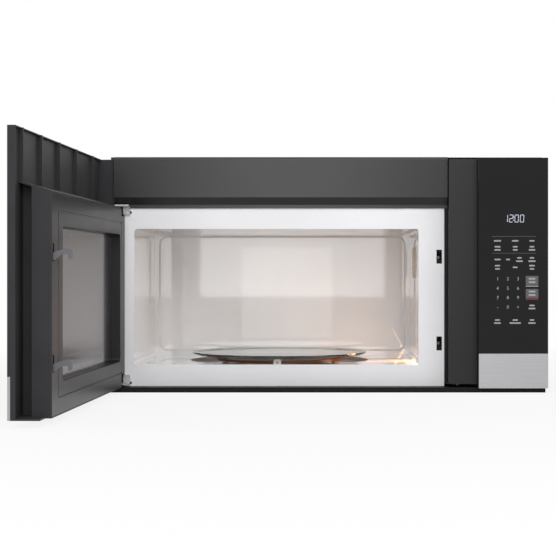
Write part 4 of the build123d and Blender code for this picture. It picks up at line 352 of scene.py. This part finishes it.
# %% Finishes of the inner parts
WAVE = 0.3                           # metres between the bands of a wave texture of scale 1


def stacked_laminations(name, dark="#3a3a3c", light="#4c4b49", sheet=0.0005):
    """Varnished steel laminations: 0.5 mm sheets stacked along X, drawn 1 mm apart."""
    material, tree = new_material(name)
    place = add(tree, "ShaderNodeTexCoord")
    lines = add(tree, "ShaderNodeTexWave", {"Vector": place.outputs["Object"],
                                            "Scale": WAVE / (2 * sheet)}, bands_direction="X")
    show(tree, add(tree, "ShaderNodeBsdfPrincipled", {
        "Base Color": between(tree, lines.outputs["Fac"], dark, light),
        "Roughness": 0.45,
        "Metallic": 0.6,
        "Normal": relief(tree, lines.outputs["Fac"], 0.0001),
    }))
    return material


def mill_aluminium(name, dark="#9b9c9e", light="#c2c3c4"):
    """Rolled aluminium as it leaves the mill: faint lines along the rolling, 1 mm apart."""
    material, tree = new_material(name)
    lines = grain(tree, 0.001, (60, 1, 1))
    show(tree, add(tree, "ShaderNodeBsdfPrincipled", {
        "Base Color": between(tree, lines, dark, light),
        "Metallic": 1.0,
        "Roughness": spread(tree, lines, 0.32, 0.45),
        "Normal": relief(tree, lines, 0.000006),
    }))
    return material


def circuit_board(name, cell=0.00625):
    """Glass epoxy board under green solder mask: copper tracks between cells of 6 mm."""
    material, tree = new_material(name)
    place = add(tree, "ShaderNodeTexCoord")
    tracks = add(tree, "ShaderNodeTexVoronoi", {"Vector": place.outputs["Object"],
                                                "Scale": 1 / cell},
                 distance="CHEBYCHEV", feature="DISTANCE_TO_EDGE")
    show(tree, add(tree, "ShaderNodeBsdfPrincipled", {
        "Base Color": between(tree, tracks.outputs["Distance"], "#0c4a26", "#1b6a3a", 0.05, 0.1),
        "Roughness": 0.3,
        "Normal": relief(tree, tracks.outputs["Distance"], 0.0001),
    }))
    return material


def mica_sheet(name, flake=0.004):
    """Mica paper bonded with silicone: pearly flakes 4 mm across in buff and silver."""
    material, tree = new_material(name)
    place = add(tree, "ShaderNodeTexCoord")
    flakes = add(tree, "ShaderNodeTexVoronoi", {"Vector": place.outputs["Object"],
                                                "Scale": 1 / flake})
    tone = add(tree, "ShaderNodeSeparateColor", {"Color": flakes.outputs["Color"]}).outputs[0]
    show(tree, add(tree, "ShaderNodeBsdfPrincipled", {
        "Base Color": between(tree, tone, "#b9a893", "#d8cbb8", 0.0, 1.0),
        "Roughness": spread(tree, tone, 0.25, 0.5),
        "Normal": relief(tree, tone, 0.00005),
    }))
    return material


def expanded_mesh(name, pitch=0.004):
    """Layers of expanded aluminium: diamonds 4 mm across, from a wave each way."""
    material, tree = new_material(name)
    place = add(tree, "ShaderNodeTexCoord")
    turned = add(tree, "ShaderNodeMapping", {"Vector": place.outputs["Object"],
                                             "Rotation": (0, 0, math.radians(45))})
    waves = [add(tree, "ShaderNodeTexWave", {"Vector": turned.outputs[0], "Scale": WAVE / pitch},
                 bands_direction=way).outputs["Fac"] for way in ("X", "Y")]
    diamonds = add(tree, "ShaderNodeMath", {0: waves[0], 1: waves[1]}, operation="MAXIMUM").outputs[0]
    show(tree, add(tree, "ShaderNodeBsdfPrincipled", {
        "Base Color": between(tree, diamonds, "#3c3d3e", "#b7b8b9", 0.55, 0.85),
        "Metallic": 0.9,
        "Roughness": 0.4,
        "Normal": relief(tree, diamonds, 0.0012),
    }))
    return material


laminations = stacked_laminations("varnished_laminations")
aluminium = mill_aluminium("mill_finish_aluminium")
board = circuit_board("green_circuit_board")
mica = mica_sheet("mica_sheet")
mesh_layers = expanded_mesh("expanded_aluminium_mesh")
spring_wire = mill_aluminium("drawn_spring_wire", "#6c6d70", "#8f9093")
print("inner finishes:", names_of(laminations, aluminium, board, mica, mesh_layers, spring_wire))

# %% [markdown]
# ## Dressing the CAD model
# Each CAD node takes the finish of the real part that it stands for, and the print at
# the end names any node that was forgotten.

# %% Give each CAD node its finish
finishes = {
    case_paint: ["cabinet_wrapper", "base_panel", "door_choke", "door_screen"],
    zinc: ["rear_panel", "exhaust_collar", "case_screws", "blower_housing", "turntable_motor",
           "exhaust_damper", "hinge_upper", "hinge_lower"],
    face_enamel: ["front_plate"],
    oven_enamel: ["cavity_liner", "cavity_back"],
    stainless_along_x: ["control_trim"],
    stainless_along_y: ["door_trim"],
    control_face: ["control_glass", "door_glass", "display_module"],
    strip_abs: ["control_frame"],
    door_abs: ["door_frame"],
    cover_abs: ["choke_cover"],
    vent_abs: ["top_vent_panel"],
    window_screen: ["door_window"],
    tray_glass: ["glass_tray"],
    amber_resin: ["roller_ring"],
    roller_resin: ["roller_front", "roller_right", "roller_left"],
    mica: ["waveguide_cover"],
    aluminium: ["waveguide", "magnetron", "hv_capacitor"],
    laminations: ["hv_transformer", "blower_motor", "fan_motor"],
    board: ["control_board", "noise_filter", "touch_sensor"],
    # latch_bracket is black so that the latch slots, where it shows, read dark: painted shade in the
    # slots.
    black_nylon: ["fan_shroud", "fan_wheel", "blower_wheel_left", "blower_wheel_right", "cord_bushing",
                  "latch_bracket"],
    carbon_granules: ["charcoal_filter"],
    mesh_layers: ["grease_filter_left", "grease_filter_right"],
    frosted_glass: ["lamp_lens_left", "lamp_lens_right"],
    lamp_ceramic: ["cooktop_lamps", "cavity_lamp"],
    pale_acetal: ["door_switches", "switch_plunger_upper", "switch_plunger_lower",
                  "hinge_bushes", "turntable_coupler"],
    hook_acetal: ["latch_slider"],
    spring_wire: ["latch_spring"],
}
for material, names in finishes.items():
    for name in names:
        nodes[name].data.materials.clear()
        nodes[name].data.materials.append(material)
left_out = sorted(set(nodes) - {name for names in finishes.values() for name in names})
print("CAD nodes without a finish:", left_out)


# %% [markdown]
# ## Building new pieces from arrays
# A printed mark is a thin flat shape, and most of the marks are rounded bars. One
# function works out the outline of every bar at once, as arrays, and a second fills
# them as one mesh. A third stacks the same outlines into a slab with a bevelled edge.

# %% Helpers for new pieces
def put_in(name, vertices, faces, material, body):
    """Make a flat shaded piece from points and faces, give it its finish and its body."""
    mesh = bpy.data.meshes.new(name)
    mesh.from_pydata(vertices.tolist(), [], [list(f) for f in faces])
    mesh.update()
    mesh.materials.append(material)
    mesh.polygons.foreach_set("use_smooth", [False] * len(mesh.polygons))
    piece = bpy.data.objects.new(name, mesh)
    bpy.context.scene.collection.objects.link(piece)
    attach(piece, body)
    return piece


def rounded_bars(centres, sizes, radius, steps=5):
    """Rounded bars in the X and Z plane: a corner circle of the radius round each corner.

    centres and sizes are arrays of (x, z) and (width, height). A corner point is the
    bar's corner drawn in by the radius, plus the radius times (cos t, sin t).
    """
    centres, sizes = np.atleast_2d(centres), np.atleast_2d(sizes) * np.ones((len(centres), 1))
    radii = np.minimum(radius, sizes.min(axis=1) / 2 * 0.999)
    t = (np.arange(4)[:, None] * 90 + np.linspace(0, 90, steps)[None, :]) * math.pi / 180
    sign_x = np.array([1, -1, -1, 1])[:, None] * np.ones((1, steps))
    sign_z = np.array([1, 1, -1, -1])[:, None] * np.ones((1, steps))
    inner = sizes / 2 - radii[:, None]
    x = centres[:, 0, None, None] + sign_x * inner[:, 0, None, None] + radii[:, None, None] * np.cos(t)
    z = centres[:, 1, None, None] + sign_z * inner[:, 1, None, None] + radii[:, None, None] * np.sin(t)
    ring = np.stack([x.reshape(len(centres), -1), z.reshape(len(centres), -1)], axis=2)
    return ring


def print_shapes(name, rings, y, material, body):
    """Fill flat closed outlines, given as (shape, point, x and z), at depth y, facing -Y."""
    count, around = rings.shape[:2]
    points = np.empty((count * around, 3))
    points[:, 0] = rings[:, :, 0].ravel()
    points[:, 1] = y
    points[:, 2] = rings[:, :, 1].ravel()
    faces = np.arange(count * around).reshape(count, around)
    return put_in(name, points, faces, material, body)


def rounded_slab(name, centre, size, radius, depths, edge, material, body):
    """A closed slab with rounded corners: a back ring, a front ring and a ring drawn in by edge.

    centre and size are (x, z) and (width, height), and depths is (back y, front y).
    """
    outer = rounded_bars([centre], [size], radius)[0]
    inner = rounded_bars([centre], [(size[0] - 2 * edge, size[1] - 2 * edge)], radius - edge)[0]
    back, front = depths
    levels = [(outer, back), (outer, front + edge), (inner, front)]
    points = np.concatenate([np.column_stack([ring[:, 0], np.full(len(ring), y), ring[:, 1]])
                             for ring, y in levels])
    n = len(outer)
    i = np.arange(n)
    after = (i + 1) % n
    walls = [np.column_stack([i + n * (k + 1), i + n * k, after + n * k, after + n * (k + 1)])
             for k in range(2)]
    faces = [tuple(f) for f in np.concatenate(walls).tolist()]
    faces += [tuple(range(2 * n, 3 * n)), tuple(range(n - 1, -1, -1))]
    return put_in(name, points, faces, material, body)


# %% [markdown]
# ## Small black pieces of the face, and a strip of painted shade
# A thin black strip lies over the edge between the enamelled face and the finger
# strip. It is painted shade, a dark sheet standing for the shadow in that gap. Each
# hinge end gets a flat black disc. They are small, but they draw the dark lines that
# part the pale face from the panel beside it. Both stand only 0.3 mm proud, so the
# closed door clears them.

# %% Strip of painted shade and hinge discs
SHADE_STRIP_TOP, SHADE_STRIP_FOOT = 320.0 * MM, 13.2 * MM
SHADE_STRIP_WIDTH, FILM = 5.9 * MM, 0.3 * MM
SHADE_STRIP_CORNER = 2.6 * MM
shade_strip_mid = plate_high.x + 3.1 * MM
film_depths = (plate_low.y, plate_low.y - FILM)
# The black strip made here is painted shade, standing for the shadow in the gap beside the finger
# strip.
rounded_slab("face_painted_shade_strip", (shade_strip_mid, (SHADE_STRIP_TOP + SHADE_STRIP_FOOT) / 2),
             (SHADE_STRIP_WIDTH, SHADE_STRIP_TOP - SHADE_STRIP_FOOT), SHADE_STRIP_CORNER,
             film_depths, FILM / 2, black_nylon, "cabinet")
# Each hinge end gets a flat black disc 5 mm across.
HINGE_DISC = 5.0 * MM                     # across the head
hinge_disc_x = plate_low.x + 10.4 * MM
hinge_disc_heights = {"upper": 313.3 * MM, "lower": 14.4 * MM}
for place, height in hinge_disc_heights.items():
    rounded_slab(f"hinge_black_disc_{place}", (hinge_disc_x, height), (HINGE_DISC, HINGE_DISC), HINGE_DISC / 2 * 0.98,
                 film_depths, FILM / 2, black_nylon, "cabinet")
print("painted shade strip length in mm:", round((SHADE_STRIP_TOP - SHADE_STRIP_FOOT) / MM, 2))

# %% [markdown]
# ## Inks and light
# The marks on the control glass are screen printed in pale grey ink. The key that
# stops the oven is underlined in red. The clock is lit from behind in cold white,
# so its digits give light of their own, at about the level of white paper.

# %% Ink and light materials
def screen_ink(name, dark, light):
    """Screen printed ink: matt, with the faint mottle of the mesh, 0.5 mm across."""
    material, tree = new_material(name)
    show(tree, add(tree, "ShaderNodeBsdfPrincipled", {
        "Base Color": between(tree, grain(tree, 0.0005), dark, light),
        "Roughness": 0.6,
    }))
    return material


def lit_segment(name, colour, strength):
    """A lit segment: its own light, mottled between its colour and white."""
    material, tree = new_material(name)
    mottle = between(tree, grain(tree, 0.004), colour, "#ffffff", 0.0, 1.0)
    show(tree, add(tree, "ShaderNodeEmission", {"Color": mottle, "Strength": strength}))
    return material


grey_ink = screen_ink("pale_grey_screen_ink", "#8f8f90", "#a3a3a4")
dim_ink = screen_ink("dim_grey_screen_ink", "#47474a", "#515154")
block_ink = screen_ink("mid_grey_screen_ink", "#4b4b4d", "#565658")
red_ink = screen_ink("red_screen_ink", "#7c1c24", "#94232c")
clock_light = lit_segment("cold_white_segment", "#c4cdf6", 1.0)

# %% [markdown]
# ## The keypad's marks
# The keys are touch fields behind the glass, so all that shows is print. Names of
# functions are left as plain bars of the size that the words have, because the
# oven carries no lettering apart from its digits.

# %% Bars in place of function names
middle_x = (glass_low.x + glass_high.x) / 2
BAR = 2.6 * MM                       # height of one line of print
LEFT_KEYS, MID_KEYS, RIGHT_KEYS = -27.5, 3.0, 31.8      # mm from the middle of the panel
NARROW, WIDE = -9.3, 10.3            # two more places in the row of four keys
bar_rows = np.array([                # mm: middle from the panel's middle, height, width
    (LEFT_KEYS, 262.5, 12.5), (MID_KEYS, 262.5, 11.5), (RIGHT_KEYS, 262.5, 9.0),
    (LEFT_KEYS, 252.4, 10.5), (LEFT_KEYS, 247.0, 11.0), (MID_KEYS, 252.4, 8.5),
    (MID_KEYS, 247.0, 8.5), (RIGHT_KEYS, 252.4, 8.5), (RIGHT_KEYS, 247.0, 11.5),
    (LEFT_KEYS, 230.4, 11.0), (NARROW, 230.4, 7.0), (WIDE, 233.2, 8.0),
    (WIDE, 227.6, 12.0), (RIGHT_KEYS, 233.2, 8.0), (RIGHT_KEYS, 227.6, 12.5),
    (LEFT_KEYS, 219.8, 9.0), (LEFT_KEYS, 214.3, 8.5), (MID_KEYS, 217.0, 8.5),
    (RIGHT_KEYS, 219.8, 10.0), (RIGHT_KEYS, 214.3, 8.0),
    (RIGHT_KEYS, 151.4, 9.0), (RIGHT_KEYS, 146.2, 12.0),
    (LEFT_KEYS, 126.4, 9.0), (LEFT_KEYS, 121.2, 12.0), (MID_KEYS, 126.4, 9.0),
    (MID_KEYS, 121.2, 20.0), (RIGHT_KEYS, 126.4, 8.0), (RIGHT_KEYS, 121.2, 13.0),
]) * MM
bar_places = np.column_stack([middle_x + bar_rows[:, 0], bar_rows[:, 1]])
bar_sizes = np.column_stack([bar_rows[:, 2], np.full(len(bar_rows), BAR)])
bars = print_shapes("keypad_bars", rounded_bars(bar_places, bar_sizes, BAR / 2), panel_y,
                    grey_ink, "cabinet")
line_x = middle_x + 1.0 * MM
lines = print_shapes("keypad_lines",
                     rounded_bars([(line_x, 270.1 * MM), (line_x, 241.2 * MM)],
                                  [(76.0 * MM, 0.7 * MM)], 0.3 * MM), panel_y, dim_ink, "cabinet")
print("bars printed:", len(bar_rows))

# %% Grey keys with their underlines
key_x, key_width = middle_x + 31.9 * MM, 21.5 * MM
key_middles = [(key_x, 194.4 * MM), (key_x, 172.0 * MM)]
print_shapes("start_stop_keys", rounded_bars(key_middles, [(key_width, 15.6 * MM)], 0.6 * MM),
             panel_y, block_ink, "cabinet")
print_shapes("start_key_line",
             rounded_bars([(key_x, 184.6 * MM)], [(key_width, 1.6 * MM)], 0.2 * MM),
             panel_y, grey_ink, "cabinet")
print_shapes("stop_key_line",
             rounded_bars([(key_x, 162.4 * MM)], [(key_width, 1.8 * MM)], 0.2 * MM),
             panel_y, red_ink, "cabinet")
print_shapes("start_stop_bars",
             rounded_bars([(key_x, height * MM) for height in (197.4, 191.4, 175.4, 169.4)],
                          [(12.0 * MM, 3.0 * MM)], 1.5 * MM), panel_y - PRINT, grey_ink, "cabinet")
print("grey keys printed:", len(key_middles))

# %% [markdown]
# ## Digits
# The digits of the keypad are ordinary ones, so Blender's own font will do. A text
# object is turned into a mesh before it is moved, so that its place ends up in its
# points. The clock's digits are seven segments each, and a segment is a six sided
# bar, so they come from the same kind of array as the bars.

# %% Keypad digits
def print_text(name, text, x, z, height, material):
    """A digit as a flat mesh on the control glass, centred on x and z."""
    curve = bpy.data.curves.new(name, "FONT")
    curve.body = text
    curve.size = height / 0.7        # a capital is about 0.7 of the font's size
    curve.align_x, curve.align_y = "CENTER", "CENTER"
    curve.resolution_u = 3
    flat = bpy.data.objects.new(name, curve)
    bpy.context.scene.collection.objects.link(flat)
    mesh = bpy.data.meshes.new_from_object(flat.evaluated_get(bpy.context.evaluated_depsgraph_get()))
    bpy.data.objects.remove(flat)
    points = np.empty(len(mesh.vertices) * 3)
    mesh.vertices.foreach_get("co", points)
    points = points.reshape(-1, 3)
    placed = np.column_stack([points[:, 0] + x, np.full(len(points), panel_y), points[:, 1] + z])
    mesh.vertices.foreach_set("co", placed.ravel())
    mesh.update()
    mesh.materials.clear()
    mesh.materials.append(material)
    piece = bpy.data.objects.new(name, mesh)
    bpy.context.scene.collection.objects.link(piece)
    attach(piece, "cabinet")


digit_columns = [middle_x - 27.1 * MM, middle_x - 9.7 * MM, middle_x + 7.8 * MM]
digit_rows = [197.0 * MM, 180.8 * MM, 164.6 * MM, 148.4 * MM]
keypad = ["1", "2", "3", "4", "5", "6", "7", "8", "9", "-", "0", "+"]
digit_names = ["one", "two", "three", "four", "five", "six", "seven", "eight", "nine",
               "minus", "zero", "plus"]
DIGIT_HEIGHT = 5.6 * MM
for place, (digit, word) in enumerate(zip(keypad, digit_names)):
    print_text(f"key_{word}", digit, digit_columns[place % 3], digit_rows[place // 3],
               DIGIT_HEIGHT, grey_ink)
print("keypad digits:", len(keypad))

# %% Clock digits of seven segments
CLOCK_HEIGHT, CLOCK_WIDTH = 12.2 * MM, 5.9 * MM
SEGMENT = 0.95 * MM
LEAN = 0.05                          # sideways lean of the digits per unit of height
segments = {                         # each segment from one end to the other, in halves
    "top": ((0, 2), (1, 2)), "high_left": ((0, 1), (0, 2)), "high_right": ((1, 1), (1, 2)),
    "middle": ((0, 1), (1, 1)), "low_left": ((0, 0), (0, 1)), "low_right": ((1, 0), (1, 1)),
    "bottom": ((0, 0), (1, 0)),
}
lit = {
    "1": ["high_right", "low_right"],
    "2": ["top", "high_right", "middle", "low_left", "bottom"],
    "0": ["top", "high_left", "high_right", "low_left", "low_right", "bottom"],
}


def six_sided(start, end, width):
    """Outline of one segment: its two ends, and two points each side near each end."""
    start, end = np.array(start, float), np.array(end, float)
    along = (end - start) / np.linalg.norm(end - start)
    across = np.array([-along[1], along[0]]) * width / 2
    near, far = start + along * width * 0.55, end - along * width * 0.55
    tip, tail = start + along * width * 0.1, end - along * width * 0.1
    return np.array([tip, near - across, far - across, tail, far + across, near + across])


clock_left = middle_x - 13.4 * MM
clock_low = 294.8 * MM
offsets = [-3.0 * MM, 6.2 * MM, 15.6 * MM, 24.9 * MM]    # the 1 is lit at its right edge only
rings = []
for digit, offset in zip("1200", offsets):
    for name in lit[digit]:
        ends = [(clock_left + offset + u * CLOCK_WIDTH + LEAN * w * CLOCK_HEIGHT / 2,
                 clock_low + w * CLOCK_HEIGHT / 2) for u, w in segments[name]]
        rings.append(six_sided(*ends, SEGMENT))
clock = print_shapes("clock_digits", np.array(rings), panel_y, clock_light, "cabinet")
colon_x = clock_left + 13.4 * MM
COLON_DOT = 1.5 * MM
colon_dots = [(colon_x, clock_low + 3.2 * MM), (colon_x + 0.4 * MM, clock_low + 8.2 * MM)]
colon = print_shapes("clock_colon", rounded_bars(colon_dots, [(COLON_DOT, COLON_DOT)], 0.6 * MM),
                     panel_y, clock_light, "cabinet")
print("clock segments lit:", len(rings))

# %% [markdown]
# ## The stage
# The oven stands on a plain pale floor in a white room. To the camera, and in
# reflections, the room is plain white. To the object it gives an even soft light.
# Near the oven the floor keeps a little of its own shading, so the shadow stays, and
# further out it fades into the white of the room.

# %% Floor
def seen_rays(tree):
    """1 for a ray that the camera, a reflection or a clear glass sees by, 0 for light."""
    rays = add(tree, "ShaderNodeLightPath").outputs
    direct = add(tree, "ShaderNodeMath", {0: rays["Is Camera Ray"], 1: rays["Is Glossy Ray"]},
                 operation="MAXIMUM")
    return add(tree, "ShaderNodeMath", {0: direct.outputs[0], 1: rays["Is Transmission Ray"]},
               operation="MAXIMUM").outputs[0]


floor_mesh = bpy.data.meshes.new("floor")
FLOOR_HALF, FLOOR_Z = 12.0, -0.0005
floor_corners = [(x * FLOOR_HALF, y * FLOOR_HALF, FLOOR_Z)
                 for x, y in ((-1, -1), (1, -1), (1, 1), (-1, 1))]
floor_mesh.from_pydata(floor_corners, [], [(0, 1, 2, 3)])
floor = bpy.data.objects.new("floor", floor_mesh)
bpy.context.scene.collection.objects.link(floor)
floor_material, tree = new_material("pale_floor")
plain = add(tree, "ShaderNodeBsdfDiffuse", {"Color": linear("#e6e6e6")})
white = add(tree, "ShaderNodeEmission", {"Color": (1, 1, 1, 1), "Strength": 1.0})
place = add(tree, "ShaderNodeTexCoord")
NEAR, FAR = 0.75, 1.7                # the floor keeps its shading inside NEAR, none beyond FAR
NEAR_WHITE = 0.86                    # share of plain white in the floor near the oven
reach = add(tree, "ShaderNodeVectorMath", {0: place.outputs["Object"], 1: (0.0, -0.2, 0.0)},
            operation="DISTANCE")
whiteness = add(tree, "ShaderNodeMapRange", {"Value": reach.outputs["Value"], "From Min": NEAR,
                                             "From Max": FAR, "To Min": NEAR_WHITE, "To Max": 1.0})
share = add(tree, "ShaderNodeMath", {0: seen_rays(tree), 1: whiteness.outputs[0]},
            operation="MULTIPLY")
show(tree, add(tree, "ShaderNodeMixShader", {0: share.outputs[0], 1: plain.outputs[0],
                                             2: white.outputs[0]}))
floor_mesh.materials.append(floor_material)
print("floor, length of a side in m:", 2 * FLOOR_HALF)

# %% Room
ROOM_LIGHT = 0.55                    # what the white room gives to the object
world = bpy.data.worlds.new("white_room")
bpy.context.scene.world = world
world.use_nodes = True
tree = world.node_tree
tree.nodes.clear()
soft = add(tree, "ShaderNodeBackground", {"Color": (1, 1, 1, 1), "Strength": ROOM_LIGHT})
bright = add(tree, "ShaderNodeBackground", {"Color": (1, 1, 1, 1), "Strength": 1.0})
both = add(tree, "ShaderNodeMixShader", {0: seen_rays(tree), 1: soft.outputs[0],
                                         2: bright.outputs[0]})
add(tree, "ShaderNodeOutputWorld", {"Surface": both.outputs[0]})


# %% [markdown]
# ## Lamps
# A large soft box in front lights the pale face, a second one comes from the right
# for the open door, and a small one beside the camera gives the glow in the polished
# top panel. A soft box in the mouth of the oven fills its inside with white light,
# and the oven's own lamp warms the right of its floor.

# %% Place the lamps
def soft_lamp(name, place, aim, size, power, colour="#ffffff"):
    """A square soft box at place that faces aim."""
    lamp = bpy.data.lights.new(name, "AREA")
    lamp.size = size
    lamp.energy = power
    lamp.color = linear(colour)[:3]
    holder = bpy.data.objects.new(name, lamp)
    bpy.context.scene.collection.objects.link(holder)
    x, y, z = (a - p for a, p in zip(aim, place))
    holder.location = place
    holder.rotation_euler = (math.atan2(math.hypot(x, y), -z), 0, math.atan2(-x, y))


middle = (0.0, -0.3, 0.2)            # of the oven
soft_lamp("front_box", place=(0.3, -4.2, 2.4), aim=middle, size=2.6, power=72)
soft_lamp("right_box", place=(3.2, -2.2, 1.4), aim=middle, size=2.0, power=26)
soft_lamp("camera_side_box", place=(-0.15, -3.5, 0.5), aim=middle, size=0.8, power=7)

mouth = (liner_low.x + liner_high.x) / 2, plate_low.y, (liner_low.z + liner_high.z) / 2
inwards = (mouth[0], mouth[1] + 1.0, mouth[2])
soft_lamp("mouth_box", place=mouth, aim=inwards, size=0.2, power=0.13)
lamp_low, lamp_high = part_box("cavity_lamp")
lamp_place = (liner_high.x - 12.0 * MM, (lamp_low.y + lamp_high.y) / 2, lamp_high.z - 40.0 * MM)
lamp_aim = (lamp_place[0] - 1.0, lamp_place[1], lamp_place[2] - 0.6)
soft_lamp("oven_lamp", place=lamp_place, aim=lamp_aim, size=0.06, power=0.3, colour="#ffb878")
print("lamps:", [lamp.name for lamp in bpy.data.lights])

# %% [markdown]
# ## The camera
# The photograph was taken from 3 m in front of the wall, half way up the oven, with
# a long lens kept level. The film back is shifted a little, because the oven isn't
# in the middle of the frame, and a level camera keeps the upright edges upright.

# %% Camera
camera_data = bpy.data.cameras.new("camera")
camera_data.sensor_width = 36.0
camera_data.lens = 96.78
camera_data.shift_x = -0.0890
camera_data.shift_y = -0.0098
camera = bpy.data.objects.new("camera", camera_data)
camera.location = (0.0, -2.9736, 0.208)
camera.rotation_euler = (math.radians(90), 0, 0)
bpy.context.scene.collection.objects.link(camera)
bpy.context.scene.camera = camera
bpy.context.scene.view_settings.view_transform = "Standard"
